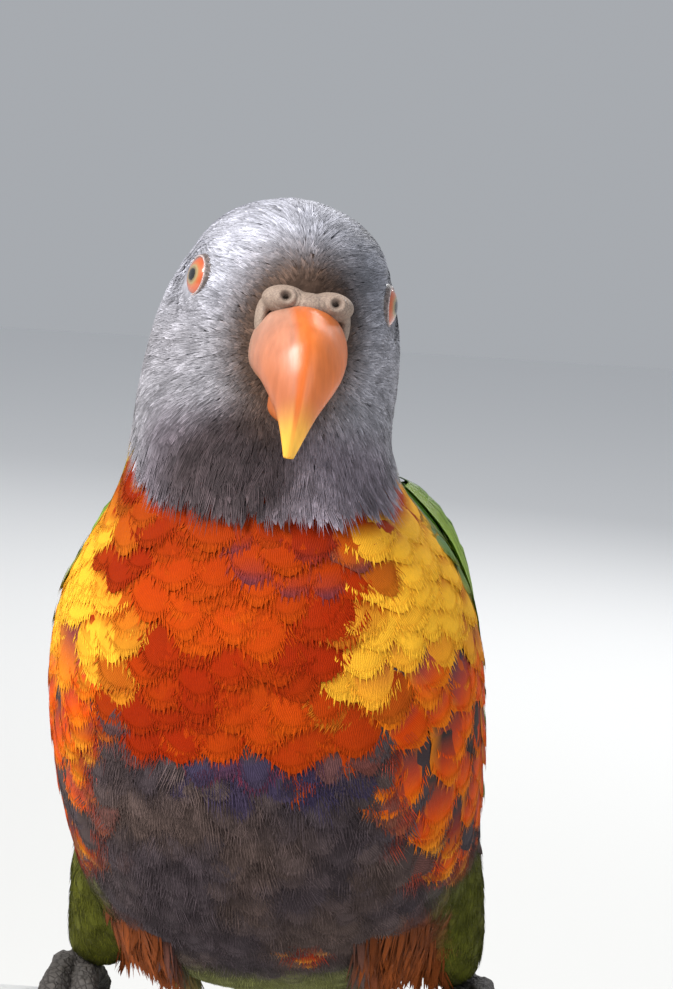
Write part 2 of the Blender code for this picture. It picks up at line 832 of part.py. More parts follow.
def round_rail(x, turn, reach):
    """A point at an angle over the rail from its top, positive ahead, and a distance from its axis."""
    forward = math.sin(turn) * reach
    up = math.cos(turn) * reach - RAIL_RADIUS
    return Vector((x + FOOT_SHIFT, -forward, up + rail_height()))


def toe_reach(radius):
    """How far a toe's axis is from the rail's."""
    return RAIL_RADIUS + GAP + radius * TOE_FLESH * MM


def toe(side, way, length, radius, root_x, tip_x):
    """A toe bent over the rail: a knuckled tube."""
    reach = toe_reach(radius)
    sweep = length * MM / reach
    steps = 8
    path, radii = [], []
    for i in range(steps + 1):
        t = i / steps
        arch = TOE_ARCH * math.sin(math.pi * min(1, t * 1.7))
        x = side * (FOOT_X + mix(root_x, tip_x, t) * MM)
        path.append(round_rail(x, way * (t * sweep - TOE_BACK), reach + arch))
        knuckle = 1 + TOE_SWELL * math.cos(t * TOE_JOINTS * 2 * math.pi)
        radii.append(radius * MM * knuckle * mix(*TOE_TAPER, t))
    bm = bmesh.new()
    loft(bm, tube(path, radii, sides=7))
    return object_from(bm, "toe")


def claw(name, side, way, length, radius, x):
    """A hooked claw that carries on from a toe's end."""
    reach = toe_reach(radius)
    start = length * MM / reach - TOE_BACK
    path, radii = [], []
    steps = 5
    for i in range(steps + 1):
        t = i / steps
        turn = start + (GAP * 1.3 + t * CLAW_LENGTH) / reach
        out = reach + CLAW_HOOK * math.sin(math.pi * t)
        path.append(round_rail(side * (FOOT_X + x * MM), way * turn, out))
        radii.append(radius * MM * TOE_TAPER[1] * mix(*CLAW_TAPER, t))
    bm = bmesh.new()
    loft(bm, tube(path, radii, sides=6))
    return object_from(bm, name, "claw")


def leg(side, word, torso):
    """Thigh, foot and claws of one leg."""
    rows = [(place(flat_point(f, z, side * x * MM + THIGH_SHIFT)), r * MM) for x, f, z, r in THIGH_HIGH]
    rows += [(world_point(side * x, f, z), r * MM) for x, f, z, r in THIGH_LOW]
    path, radii = [], []
    steps = 9
    for i in range(steps + 1):
        t = i / steps * (len(rows) - 1)
        path.append(Vector([catmull([p[k] for p, _ in rows], t) for k in range(3)]))
        radii.append(catmull([r for _, r in rows], t))
    bm = bmesh.new()
    loft(bm, tube(path, radii, sides=16))
    thigh = object_from(bm, f"thigh_{word}", "thigh")
    cut_clear(thigh, torso)

    toes = []
    for number, way, length, radius, root_x, tip_x in TOES:
        toes.append(toe(side, way, length, radius, root_x, tip_x))
        claw(f"claw_{word}_{number}", side, way, length, radius, tip_x)
    bm = bmesh.new()
    path = [world_point(side * x, f, z) for x, f, z, _ in TARSUS]
    loft(bm, tube(path, [r * MM for *_, r in TARSUS], sides=10))
    foot = object_from(bm, "foot")
    boolean(foot, toes, "UNION")
    cut_clear(foot, thigh)
    finished(foot, f"foot_{word}", "foot")


# Stand

def cylinder(name, radius, low, high, finish, segments=32, bevel=0.0):
    """A round bar between two points."""
    bm = bmesh.new()
    length = (high - low).length
    bmesh.ops.create_cone(
        bm, cap_ends=True, segments=segments, radius1=radius, radius2=radius, depth=length
    )
    if bevel:
        edges = [e for e in bm.edges if abs(e.verts[0].co.z - e.verts[1].co.z) < length / 2]
        bmesh.ops.bevel(bm, geom=edges, offset=bevel, segments=2, profile=0.5, affect="EDGES")
    turn = (high - low).to_track_quat("Z", "Y").to_matrix().to_4x4()
    bmesh.ops.transform(bm, matrix=Matrix.Translation((low + high) / 2) @ turn, verts=bm.verts)
    return object_from(bm, name, finish)


def stand():
    """The base, its two rods and the cut length of rail."""
    top = Vector((0, 0, BASE_THICK))
    cylinder("stand_base", BASE_RADIUS, Vector((0, 0, 0)), top, "stand", 36, 1.2 * MM)
    axis_up = rail_height() - RAIL_RADIUS
    end = Vector((RAIL_LENGTH / 2, 0, 0))
    axis = Vector((0, 0, axis_up))
    rail = cylinder("perch", RAIL_RADIUS, axis - end, axis + end, "rail", 24, 0.6 * MM)
    for side, word in ((1, "left"), (-1, "right")):
        x = side * (RAIL_LENGTH / 2 - ROD_INSET)
        low = Vector((x, 0, BASE_THICK + GAP))
        rod = cylinder(f"stand_rod_{word}", ROD_RADIUS, low, Vector((x, 0, axis_up)), "stand", 14)
        cut_clear(rod, rail)


def main():
    clear_scene()
    whole = whole_body()
    torso = parted(whole, "torso", "breast", below=NECK_CUT)
    parted(whole, "neck", "hood", above=NECK_CUT, below=HEAD_CUT)
    build_head(whole)
    bpy.data.objects.remove(whole, do_unlink=True)
    tail()
    for side, word in ((1, "left"), (-1, "right")):
        wing(side, f"wing_{word}")
        leg(side, word, torso)
    stand()
    for obj in bpy.context.scene.objects:
        obj.data.shade_smooth()
        obj.data.set_sharp_from_angle(angle=math.radians(38))


main()
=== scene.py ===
import math
import bpy
import bmesh
import numpy as np
from mathutils import Matrix, Quaternion, Vector, noise
from mathutils.bvhtree import BVHTree


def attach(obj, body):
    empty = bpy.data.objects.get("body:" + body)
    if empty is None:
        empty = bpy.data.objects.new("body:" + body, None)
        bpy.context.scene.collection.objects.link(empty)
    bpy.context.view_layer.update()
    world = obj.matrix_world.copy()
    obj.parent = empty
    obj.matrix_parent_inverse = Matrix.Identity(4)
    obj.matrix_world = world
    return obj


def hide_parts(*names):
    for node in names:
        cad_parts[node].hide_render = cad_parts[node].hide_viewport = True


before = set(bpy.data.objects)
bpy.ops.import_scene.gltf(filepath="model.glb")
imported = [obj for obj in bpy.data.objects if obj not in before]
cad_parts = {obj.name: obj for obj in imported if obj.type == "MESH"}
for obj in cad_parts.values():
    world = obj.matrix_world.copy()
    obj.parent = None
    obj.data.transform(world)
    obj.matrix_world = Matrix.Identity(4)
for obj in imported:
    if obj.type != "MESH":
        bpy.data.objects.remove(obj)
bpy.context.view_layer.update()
mm = 0.001

# How the bird is laid out: forward and up from the top of the rail in millimetres, x to its left
pose = {
    "railTop": 0.1286221,
    "bodyTurn": -4.0,
    "bodyLean": -4.2,
    "headTurn": 14.0,
    "headPitch": -6.0,
    "headTilt": 10.0,
    "neckPivot": (20.0, 84.4),
    "neckFade": (8.4, 12.0),  # slices between which the head's pose fades in
    "feetAside": -2.2,
}

# belly side, back side, half width, share of the depth behind the widest line, power in front
bodySlices = [
    (-37, -22.6, -45, -14.6, 9.5, 0.50, 2.1),
    (-26, -11.6, -41.5, 0.4, 16.0, 0.50, 2.1),
    (-12, -0.5, -38, 14.4, 22.5, 0.50, 2.1),
    (4, 4.0, -33, 27.4, 26.3, 0.52, 2.2),
    (19, 12.0, -27.5, 39.4, 28.4, 0.53, 2.3),
    (31, 23.6, -21, 50.4, 29.3, 0.54, 2.3),
    (38.5, 37.4, -14.5, 60.4, 29.6, 0.54, 2.3),
    (42, 50.9, -8, 69.4, 29.0, 0.53, 2.2),
    (42.5, 63.4, -2, 77.4, 25.8, 0.52, 2.1),
    (40, 73.9, 2, 84.4, 20.2, 0.50, 2.1),
    (37.8, 82.4, 4, 90.9, 17.5, 0.48, 2.05),
    (37, 89.9, 5, 97.4, 17.0, 0.46, 2.0),
    (38, 95.9, 6, 103.4, 16.6, 0.45, 1.85),
    (39.5, 101.4, 8.5, 108.4, 15.4, 0.45, 1.75),
    (40, 106.6, 11.5, 112.4, 13.4, 0.46, 1.8),
    (38, 111.8, 15.5, 115.8, 11.0, 0.48, 1.95),
    (34, 115.6, 20.5, 117.6, 7.6, 0.50, 2.0),
    (31, 117.5, 24, 118.4, 4.0, 0.50, 2.0),
]
tailLayout = {
    "slope": 58.5,
    "step": 32.0,
    "halfWidth": 15.5,
    "arch": 4.2,
    "length": 122.0,
}


def allSlices():
    slope = math.radians(tailLayout["slope"])
    along = np.array([-math.cos(slope), -math.sin(slope)])
    back = np.array([along[1], -along[0]])
    first = np.array(bodySlices[0])
    root = (first[:2] + first[2:4]) / 2
    found = []
    for step in (4, 3, 2, 1):
        centre = root + along * step * tailLayout["step"]
        rise = back * tailLayout["arch"]
        width = first[4] + 3 + (tailLayout["halfWidth"] - first[4] - 3) * min(1, step / 2)
        found.append([*(centre - rise), *(centre + rise), width, 0.5, 2.1])
    return np.array(found + [list(s) for s in bodySlices], dtype=float)


slices = allSlices()


def throughPoints(values, t):
    last = len(values) - 1
    t = np.clip(t, 0.0, last)
    i = np.minimum(t.astype(int), last - 1)
    s = (t - i)[..., None]
    p0, p1 = values[np.maximum(i - 1, 0)], values[i]
    p2, p3 = values[i + 1], values[np.minimum(i + 2, last)]
    rise = 2 * p0 - 5 * p1 + 4 * p2 - p3
    return 0.5 * (2 * p1 + (p2 - p0) * s + rise * s**2 + (3 * p1 - p0 - 3 * p2 + p3) * s**3)


def softStep(low, high, value):
    t = np.clip((value - low) / (high - low), 0.0, 1.0)
    return t * t * (3 - 2 * t)


def blend(a, b, share):
    return a + (b - a) * share


def turned(points, axis, angle):
    c, s = np.cos(angle)[..., None], np.sin(angle)[..., None]
    across = np.cross(np.broadcast_to(axis, points.shape), points)
    return points * c + across * s + axis * (points @ axis)[..., None] * (1 - c)


headQuaternion = (
    Quaternion((0, 0, 1), math.radians(pose["headTurn"]))
    @ Quaternion((1, 0, 0), math.radians(pose["headPitch"]))
    @ Quaternion((0, 1, 0), math.radians(pose["headTilt"]))
)
headAxis = np.array(headQuaternion.to_axis_angle()[0])
headAngle = headQuaternion.to_axis_angle()[1]
bodyMatrix = (
    Matrix.Translation((0, 0, pose["railTop"]))
    @ Matrix.Rotation(math.radians(pose["bodyTurn"]), 4, "Z")
    @ Matrix.Rotation(math.radians(pose["bodyLean"]), 4, "Y")
)
bodyTurn = np.array(bodyMatrix.to_3x3())
bodyShift = np.array(bodyMatrix.translation)
neckPoint = np.array([0, -pose["neckPivot"][0], pose["neckPivot"][1]]) * mm


def bodyPoint(u, angle, lift):
    # angle 0 is the middle of the back, 90 its left side; lift is in metres
    u, angle, lift = np.broadcast_arrays(*(np.asarray(value, float) for value in (u, angle, lift)))
    found = throughPoints(slices, u + 4)
    front, back = found[..., 0:2] * mm, found[..., 2:4] * mm
    width, share, power = found[..., 4] * mm, found[..., 5], found[..., 6]
    across = front - back
    deep = np.linalg.norm(across, axis=-1)
    centre = back + across * share[..., None]
    toBack = -across / deep[..., None]
    c, s = np.cos(np.radians(angle)), np.sin(np.radians(angle))
    depth = np.where(c > 0, deep * share, deep * (1 - share))
    bend = np.where(c > 0, 2.12, power)
    along = np.sign(c) * np.abs(c) ** (2 / bend) * (depth + lift)
    side = np.sign(s) * np.abs(s) ** (2 / bend) * (width + lift)
    flat = centre + toBack * along[..., None]
    point = np.stack([side, -flat[..., 0], flat[..., 1]], axis=-1)
    fade = softStep(*pose["neckFade"], u)
    point = neckPoint + turned(point - neckPoint, headAxis, headAngle * fade)
    return point @ bodyTurn.T + bodyShift


def headPoint(x, forward, up):
    # a point laid out on the head, in millimetres
    x, forward, up = (np.asarray(value, float) for value in (x, forward, up))
    flat = np.stack(np.broadcast_arrays(x, -forward, up), axis=-1) * mm
    point = neckPoint + turned(flat - neckPoint, headAxis, np.full(flat.shape[:-1], headAngle))
    return point @ bodyTurn.T + bodyShift


def bodyCoordinates(points):
    # x, forward and up in millimetres, on the body
    local = (points - bodyShift) @ bodyTurn
    return local[..., 0] / mm, -local[..., 1] / mm, local[..., 2] / mm


def headCoordinates(points):
    local = (points - bodyShift) @ bodyTurn
    back = neckPoint + turned(local - neckPoint, headAxis, np.full(local.shape[:-1], -headAngle))
    return back[..., 0] / mm, -back[..., 1] / mm, back[..., 2] / mm


# Joined meshes from arrays

def addObject(name, data):
    made = bpy.data.objects.new(name, data)
    bpy.context.scene.collection.objects.link(made)
    return made


def paint(mesh, tint):
    colour = mesh.attributes.new("tint", "FLOAT_COLOR", "POINT")
    rows = np.column_stack([tint, np.ones(len(tint))])
    colour.data.foreach_set("color", rows.astype(np.float32).ravel())


def addVane(mesh, vane=None):
    found = mesh.attributes.new("vane", "FLOAT_VECTOR", "POINT")
    if vane is not None:
        found.data.foreach_set("vector", vane.astype(np.float32).ravel())


def addBakeMap(mesh, spots):
    corners = np.empty(len(mesh.loops), dtype=np.int32)
    mesh.loops.foreach_get("vertex_index", corners)
    found = mesh.uv_layers.new(name="OFBake")
    found.data.foreach_set("uv", spots[corners].astype(np.float32).ravel())


def meshFrom(name, parts, material):
    # each part holds points (n, 3), faces (f, k) and arrays for tint, vane and bakeAt
    mesh = bpy.data.meshes.new(name)
    points, tint, vane, bakeAt = (
        np.concatenate([part[key] for part in parts]) for key in ("points", "tint", "vane", "bakeAt")
    )
    loops, starts, offset, loopAt = [], [], 0, 0
    for part in parts:
        faces = part["faces"]
        loops.append((faces + offset).ravel())
        starts.append(loopAt + np.arange(len(faces)) * faces.shape[1])
        loopAt += faces.size
        offset += len(part["points"])
    loops, starts = np.concatenate(loops), np.concatenate(starts)
    mesh.vertices.add(len(points))
    mesh.vertices.foreach_set("co", points.astype(np.float32).ravel())
    mesh.loops.add(len(loops))
    mesh.loops.foreach_set("vertex_index", loops.astype(np.int32))
    mesh.polygons.add(len(starts))
    mesh.polygons.foreach_set("loop_start", starts.astype(np.int32))
    mesh.update(calc_edges=True)
    paint(mesh, tint)
    addVane(mesh, vane)
    addBakeMap(mesh, bakeAt)
    mesh.validate()
    mesh.shade_smooth()
    mesh.set_sharp_from_angle(angle=math.radians(55))  # so that the two faces of a vane are shaded apart
    mesh.materials.append(material)
    return addObject(name, mesh)


def pieceFrom(bm, name, material):
    mesh = bpy.data.meshes.new(name)
    bm.to_mesh(mesh)
    bm.free()
    mesh.shade_smooth()
    mesh.materials.append(material)
    return addObject(name, mesh)


def dress(piece, slot, *nodes):
    if nodes:
        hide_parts(*nodes)
    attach(piece, "root")


def vertexArray(piece):
    found = np.empty(len(piece.data.vertices) * 3, dtype=np.float32)
    piece.data.vertices.foreach_get("co", found)
    return found.reshape(-1, 3).astype(float)


def fuse(piece, size):
    # one closed form of even small faces
    remesh = piece.modifiers.new("fuse", "REMESH")
    remesh.mode = "VOXEL"
    remesh.voxel_size = size
    graph = bpy.context.evaluated_depsgraph_get()
    old, piece.data = piece.data, bpy.data.meshes.new_from_object(piece.evaluated_get(graph))
    piece.modifiers.clear()
    bpy.data.meshes.remove(old)


def workOn(piece, turns):
    # its mesh, smoothed a number of times
    bm = bmesh.new()
    bm.from_mesh(piece.data)
    soften(bm, turns)
    bm.normal_update()
    return bm


def soften(bm, turns=1, factor=0.5):
    for _ in range(turns):
        bmesh.ops.smooth_vert(bm, verts=bm.verts, factor=factor, use_axis_x=True, use_axis_y=True, use_axis_z=True)


def finishWork(bm, piece):
    bm.to_mesh(piece.data)
    bm.free()
    piece.data.shade_smooth()


# Materials

def newMaterial(name, **inputs):
    material = bpy.data.materials.new(name)
    material.use_nodes = True
    shader = material.node_tree.nodes["Principled BSDF"]
    for key, value in inputs.items():
        shader.inputs[inputNames[key]].default_value = value
    return material, material.node_tree, shader


inputNames = {
    "gloss": "Specular IOR Level",
    "sheen": "Sheen Weight",
    "sheenRoughness": "Sheen Roughness",
    "coat": "Coat Weight",
    "coatRoughness": "Coat Roughness",
    "roughness": "Roughness",
    "metallic": "Metallic",
    "depth": "Subsurface Weight",
    "depthRadius": "Subsurface Radius",
    "depthScale": "Subsurface Scale",
}


def newNode(tree, kind, **settings):
    node = tree.nodes.new(kind)
    for key, value in settings.items():
        if key.startswith("in_"):
            name = key[3:]
            node.inputs[int(name) if name.isdigit() else name].default_value = value
        else:
            setattr(node, key, value)
    return node


def mathNode(tree, operation, a, b=None):
    node = newNode(tree, "ShaderNodeMath", operation=operation)
    for socket, value in zip(node.inputs, (a, b)):
        if value is None:
            continue
        if isinstance(value, (int, float)):
            socket.default_value = value
        else:
            tree.links.new(value, socket)
    return node.outputs[0]


def times(tree, a, b):
    return mathNode(tree, "MULTIPLY", a, b)


def plus(tree, a, b):
    return mathNode(tree, "ADD", a, b)


def rampNode(tree, factor, stops):
    node = newNode(tree, "ShaderNodeValToRGB")
    node.color_ramp.interpolation = "EASE"
    while len(node.color_ramp.elements) < len(stops):
        node.color_ramp.elements.new(0.5)
    for element, (place, value) in zip(node.color_ramp.elements, stops):
        element.position = place
        element.color = (value, value, value, 1) if isinstance(value, (int, float)) else (*value, 1)
    tree.links.new(factor, node.inputs[0])
    return node.outputs[0]


def mixColours(tree, kind, factor, a, b):
    node = newNode(tree, "ShaderNodeMix", data_type="RGBA", blend_type=kind)
    for socket, value in ((node.inputs[0], factor), (node.inputs[6], a), (node.inputs[7], b)):
        if isinstance(value, (int, float)):
            socket.default_value = value
        elif isinstance(value, tuple):
            socket.default_value = (*value, 1)
        else:
            tree.links.new(value, socket)
    return node.outputs[2]


def objectPlace(tree):
    return newNode(tree, "ShaderNodeTexCoord").outputs["Object"]


def stretched(tree, place, scale):
    node = newNode(tree, "ShaderNodeVectorMath", operation="MULTIPLY")
    node.inputs[1].default_value = scale
    tree.links.new(place, node.inputs[0])
    return node.outputs[0]


def grainAt(tree, place, scale, detail, **settings):
    node = newNode(tree, "ShaderNodeTexNoise", in_Scale=scale, in_Detail=detail, **settings)
    tree.links.new(place, node.inputs["Vector"])
    return node.outputs[0]


def spread(tree, value, span, base):
    return plus(tree, times(tree, value, span), base)


def scaledTint(tree, tone):
    # the painted colours, lighter or darker by a tone
    node = newNode(tree, "ShaderNodeVectorMath", operation="SCALE")
    tree.links.new(newNode(tree, "ShaderNodeAttribute", attribute_name="tint").outputs["Color"], node.inputs[0])
    tree.links.new(tone, node.inputs["Scale"])
    return node.outputs[0]


def joinSurface(tree, shader, colour, rough, height, strength, distance=0.0002):
    bump = newNode(tree, "ShaderNodeBump", in_Strength=strength, in_Distance=distance)
    tree.links.new(height, bump.inputs["Height"])
    tree.links.new(bump.outputs[0], shader.inputs["Normal"])
    tree.links.new(colour, shader.inputs["Base Color"])
    if rough is not None:
        tree.links.new(rough, shader.inputs["Roughness"])


def featherMaterial(name, values):
    # tint holds the markings, with some painted shade and light; vane holds the place along, across and a draw for each
    # feather
    material, tree, shader = newMaterial(name, sheen=values["sheen"], sheenRoughness=0.4, gloss=values["gloss"])
    vane = newNode(tree, "ShaderNodeAttribute", attribute_name="vane")
    split = newNode(tree, "ShaderNodeSeparateXYZ")
    tree.links.new(vane.outputs["Vector"], split.inputs[0])
    along, across, draw = split.outputs
    side = mathNode(tree, "ABSOLUTE", across)
    lengthwise, crosswise = values["barbs"]  # barbs counted along and across the vane
    course = mathNode(tree, "SUBTRACT", times(tree, along, lengthwise), times(tree, side, crosswise))
    grain = grainAt(tree, objectPlace(tree), values["grain"], 3.0)
    course = plus(tree, course, times(tree, draw, 7.0))
    course = plus(tree, course, times(tree, grain, 1.2))
    beat = mathNode(tree, "SINE", times(tree, course, 2 * math.pi))
    barb = plus(tree, times(tree, beat, 0.5), grain)
    colour = scaledTint(tree, spread(tree, barb, values["barbTone"], 1.0 - values["barbTone"] * 0.5))
    shaft = rampNode(tree, side, [(0.0, 1.0), (values["shaftWidth"], 0.0)])
    shaft = times(tree, shaft, values["shaft"])
    colour = mixColours(tree, "MIX", shaft, colour, values["shaftColour"])
    # the margins are multiplied darker by edgeColour: partly the feathers' own edges, partly painted shade where
    # feathers lap
    rim = rampNode(tree, mathNode(tree, "MAXIMUM", side, along), [(1 - values["edgeWidth"], 0.0), (1.0, 1.0)])
    edge = mixColours(tree, "MULTIPLY", times(tree, rim, values["edge"]), colour, values["edgeColour"])
    joinSurface(tree, shader, edge, spread(tree, grain, 0.16, values["roughness"] - 0.08), barb, values["bump"])
    return material


featherFinishes = {
    "hood": {
        "barbs": (0.8, 1.6), "barbTone": 0.22, "grain": 2600.0, "shaft": 0.0, "shaftWidth": 0.22,
        "shaftColour": (0.36, 0.36, 0.44), "edge": 0.12, "edgeWidth": 0.35, "edgeColour": (0.6, 0.58, 0.62),
        "bump": 0.2, "roughness": 0.66, "sheen": 0.08, "gloss": 0.16,
    },
    "breast": {
        "barbs": (5.0, 18.0), "barbTone": 0.22, "grain": 1700.0, "shaft": 0.0, "shaftWidth": 0.05,
        "shaftColour": (0.5, 0.1, 0.01), "edge": 0.16, "edgeWidth": 0.06, "edgeColour": (0.5, 0.3, 0.25),
        "bump": 0.35, "roughness": 0.7, "sheen": 0.0, "gloss": 0.06,
    },
    "belly": {
        "barbs": (5.0, 9.0), "barbTone": 0.45, "grain": 1800.0, "shaft": 0.0, "shaftWidth": 0.05,
        "shaftColour": (0.1, 0.09, 0.1), "edge": 0.25, "edgeWidth": 0.2, "edgeColour": (0.6, 0.55, 0.6),
        "bump": 0.45, "roughness": 0.75, "sheen": 0.02, "gloss": 0.10,
    },
    "green": {
        "barbs": (6.0, 11.0), "barbTone": 0.25, "grain": 1400.0, "shaft": 0.15, "shaftWidth": 0.06,
        "shaftColour": (0.03, 0.06, 0.01), "edge": 0.4, "edgeWidth": 0.12, "edgeColour": (0.45, 0.5, 0.3),
        "bump": 0.35, "roughness": 0.55, "sheen": 0.02, "gloss": 0.2,
    },
    "flight": {
        "barbs": (46.0, 8.0), "barbTone": 0.14, "grain": 900.0, "shaft": 0.7, "shaftWidth": 0.07,
        "shaftColour": (0.02, 0.025, 0.01), "edge": 0.8, "edgeWidth": 0.035, "edgeColour": (0.4, 0.5, 0.3),
        "bump": 0.3, "roughness": 0.42, "sheen": 0.0, "gloss": 0.35,
    },
}
featherMaterials = {key: featherMaterial(key + "Feathers", values) for key, values in featherFinishes.items()}


# Skin

skinValues = {
    "voxel": 0.9 * mm,
    "bodyCoat": 1.5 * mm,  # how far the coat stands over the skin
    "faceCoat": 0.7 * mm,
    "bareCoat": 0.12 * mm,
    "eyes": ((12.35, 30.3, 106.1), (-12.35, 30.3, 106.1)),  # middle of each opening on the head
    "billRoot": (0.3, 36.0, 98.5),
    "levels": 0.25,  # slices between rings
    "around": 96,
}
eyePlaces = [headPoint(*p) for p in skinValues["eyes"]]
billRoot = headPoint(*skinValues["billRoot"])


def ovalReach(points, middle, size):
    # how far each point on the head is from a middle, in shares of an oval's size
    place = np.stack(headCoordinates(points), -1)
    return np.linalg.norm((place - middle) / size, axis=-1)


def eyeReach(points):
    return np.min([np.linalg.norm(points - place, axis=-1) for place in eyePlaces], axis=0)


def coatDepth(points):
    body = softStep(92.0, 80.0, headCoordinates(points)[2])
    depth = blend(skinValues["faceCoat"], skinValues["bodyCoat"], body)
    toBill = ovalReach(points, [0.3, 42.0, 98.0], [6.5, 6.5, 9.5])
    bare = np.minimum(softStep(3.0 * mm, 6.0 * mm, eyeReach(points)), softStep(1.0, 1.7, toBill))
    return blend(skinValues["bareCoat"], depth, bare)


def copyOfNodes(names):
    bm = bmesh.new()
    for name in names:
        bm.from_mesh(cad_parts[name].data)
    bmesh.ops.remove_doubles(bm, verts=bm.verts, dist=0.001 * mm)
    return bm


def loftRings(bm, rings, closeEnds=True):
    loops = []
    for ring in rings:
        verts = [bm.verts.new(Vector(point)) for point in ring]
        loops.append([bm.edges.new((verts[k], verts[(k + 1) % len(verts)])) for k in range(len(verts))])
    for low, high in zip(loops, loops[1:]):
        bmesh.ops.bridge_loops(bm, edges=low + high)
    if closeEnds:
        for loop in (loops[0], loops[-1]):
            bmesh.ops.holes_fill(bm, edges=loop)
    bmesh.ops.recalc_face_normals(bm, faces=bm.faces)


def buildSkin():
    # the whole form under the feathers, with the two thighs
    bm = copyOfNodes(("thigh_left", "thigh_right"))
    around = np.arange(skinValues["around"]) * 360 / skinValues["around"]
    levels = np.arange(0, 17.01, skinValues["levels"])
    rings = []
    # a smaller ring closes the crown
    for u, size, rise in [(u, 1.0, 0.0) for u in levels] + [(levels[-1], 0.5, 0.55)]:
        ring = bodyPoint(u, around, 0.0)
        middle = ring.mean(axis=0)
        rings.append(middle + (ring - middle) * size + (headPoint(0, 0, 1) - headPoint(0, 0, 0)) * rise)
    loftRings(bm, rings)
    skin = pieceFrom(bm, "skin", featherMaterials["belly"])
    fuse(skin, skinValues["voxel"])
    bm = workOn(skin, 4)
    points = np.array([v.co for v in bm.verts])
    points -= np.array([v.normal for v in bm.verts]) * coatDepth(points)[:, None]
    for vert, point in zip(bm.verts, points):
        vert.co = point
    soften(bm)
    finishWork(bm, skin)
    dress(skin, "hood", "head", "neck", "torso", "thigh_left", "thigh_right")
    return skin


skin = buildSkin()
skinPoints = vertexArray(skin)
skin.data.calc_loop_triangles()
skinTriangles = np.empty(len(skin.data.loop_triangles) * 3, dtype=np.int32)
skin.data.loop_triangles.foreach_get("vertices", skinTriangles)
skinTriangles = skinTriangles.reshape(-1, 3)
skinTree = BVHTree.FromPolygons(skinPoints.tolist(), skinTriangles.tolist())
print("skin", len(skinPoints), "points")


# Markings of the plumage, with some painted shade and light

markings = {
    "hoodBorder": ((4, 97), (10, 95), (18, 89), (25, 83), (30, 79.5), (38, 77)),  # forward, up on the head
    "backLine": ((7, -25), (16, -14.5), (26, -4), (37, 5), (49, 12), (60, 17), (70, 20), (79, 21), (90, 21)),
    "bellyTop": (47.2, 0.0125, 3),  # height of the dusky belly's upper border, its bend and its middle
    "crown": (0.54, 0.545, 0.62),
    "cheek": (0.405, 0.395, 0.435),
    "throat": (0.260, 0.222, 0.262),
    "throatDark": (0.064, 0.046, 0.050),
    "lore": (0.118, 0.072, 0.052),
    "collar": (0.46, 0.50, 0.03),
    "breast": (0.26, 0.0145, 0.0003),
    "breastWarm": (0.39, 0.039, 0.0008),
    "yellow": (0.82, 0.42, 0.026),
    "flankBase": (0.060, 0.045, 0.060),
    "flankTip": (0.62, 0.052, 0.0022),
    "belly": (0.054, 0.040, 0.045),
    "bellyBrown": (0.080, 0.054, 0.047),
    "blue": (0.028, 0.022, 0.068),
    "green": (0.055, 0.15, 0.008),
    "limeGreen": (0.21, 0.32, 0.015),
    "thighGreen": (0.085, 0.092, 0.002),
    "rust": (0.21, 0.048, 0.008),
    "vent": (0.17, 0.18, 0.05),
    "flankRim": (0.70, 0.20, 0.006),
    "warmRim": (0.85, 0.35, 0.02),
    "darkBar": (0.040, 0.020, 0.045),
}
# Where each region fades in, from nothing to its full share, in mm
regionEdges = {
    "yellow": {"side": (11.5, 21.5), "low": (54, 63), "high": (86, 78)},
    "flank": {"side": (16.0, 19.5), "low": (27, 33), "high": (64, 57)},
    "thigh": {"side": (19.5, 23.5), "high": (29, 23)},
    "inner": {"side": (15.0, 18.0), "outside": (23.5, 20.0), "high": (25, 18), "front": (-4, 4)},
    "vent": {"high": (18, 12), "front": (22, 16)},
}
blueSpots = ((-5.2, 48.4, 3.2), (-2.5, 45.3, 3.4), (8.7, 45.8, 3.2), (2.0, 47.0, 2.0))  # x, up, size
redSpots = (
    (24.4, 38.6, 2.6), (22.4, 33.2, 2.4), (26.2, 27.2, 2.4), (5.8, 19.3, 2.6), (-21.8, 50.6, 4.5), (-24.7, 32.4, 4.0),
)


def hoodEdge(x, forward):
    return np.interp(forward, *zip(*markings["hoodBorder"])) - 1.7 + 0.075 * x


def valueNoise(points, size, seed=0):
    place = points / size
    base = np.floor(place)
    part = place - base
    part = part * part * (3 - 2 * part)
    total = 0.0
    for corner in np.ndindex(2, 2, 2):
        spot = base + corner
        draw = np.sin(spot @ np.array([127.1, 311.7, 74.7]) + seed * 17.31) * 43758.5453
        weight = np.prod(np.where(corner, part, 1 - part), axis=-1)
        total = total + (draw - np.floor(draw)) * weight
    return total


def evenTone(key, points):
    return np.broadcast_to(np.array(markings[key]), points.shape).copy()


def shareOf(colour, key, share):
    return blend(colour, evenTone(key, colour), share[..., None])


def headTone(points):
    # the hood's colour, darker by the bill and at the chin, with painted shade on the left of the crown
    x, forward, up = headCoordinates(points)
    crown = softStep(98.0, 108.0, up)
    tone = shareOf(evenTone("cheek", points), "crown", crown)
    tone = shareOf(tone, "throat", softStep(22.0, 30.0, forward) * softStep(92.0, 84.0, up))
    tone = tone * blend(1.0, 0.92, softStep(96.0, 84.0, up) * softStep(0.0, -8.0, x))[..., None]
    toChin = ovalReach(points, [-5.5, 36.0, 81.0], [10.0, 12.0, 9.0])
    toBill = ovalReach(points, [0.3, 40.0, 99.0], [7.5, 7.5, 9.0])
    tone = shareOf(tone, "throatDark", softStep(1.25, 0.55, toChin))
    tone = shareOf(tone, "lore", softStep(1.95, 1.20, toBill))
    # painted shade: the crown's left side, away from the key lamp, darker
    tone = tone * blend(1.0, 0.52, softStep(0.0, 9.0, x) * crown)[..., None]
    tone = tone * (0.80 + 0.40 * valueNoise(points, 2.2 * mm, 2))[..., None]
    return tone * (0.66 + 0.68 * valueNoise(points, 0.75 * mm, 12))[..., None]


def bellyTone(points):
    tone = shareOf(evenTone("belly", points), "bellyBrown", softStep(0.35, 0.8, valueNoise(points, 6.0 * mm, 4)))
    return tone * (0.7 + 0.6 * valueNoise(points, 1.6 * mm, 5))[..., None]


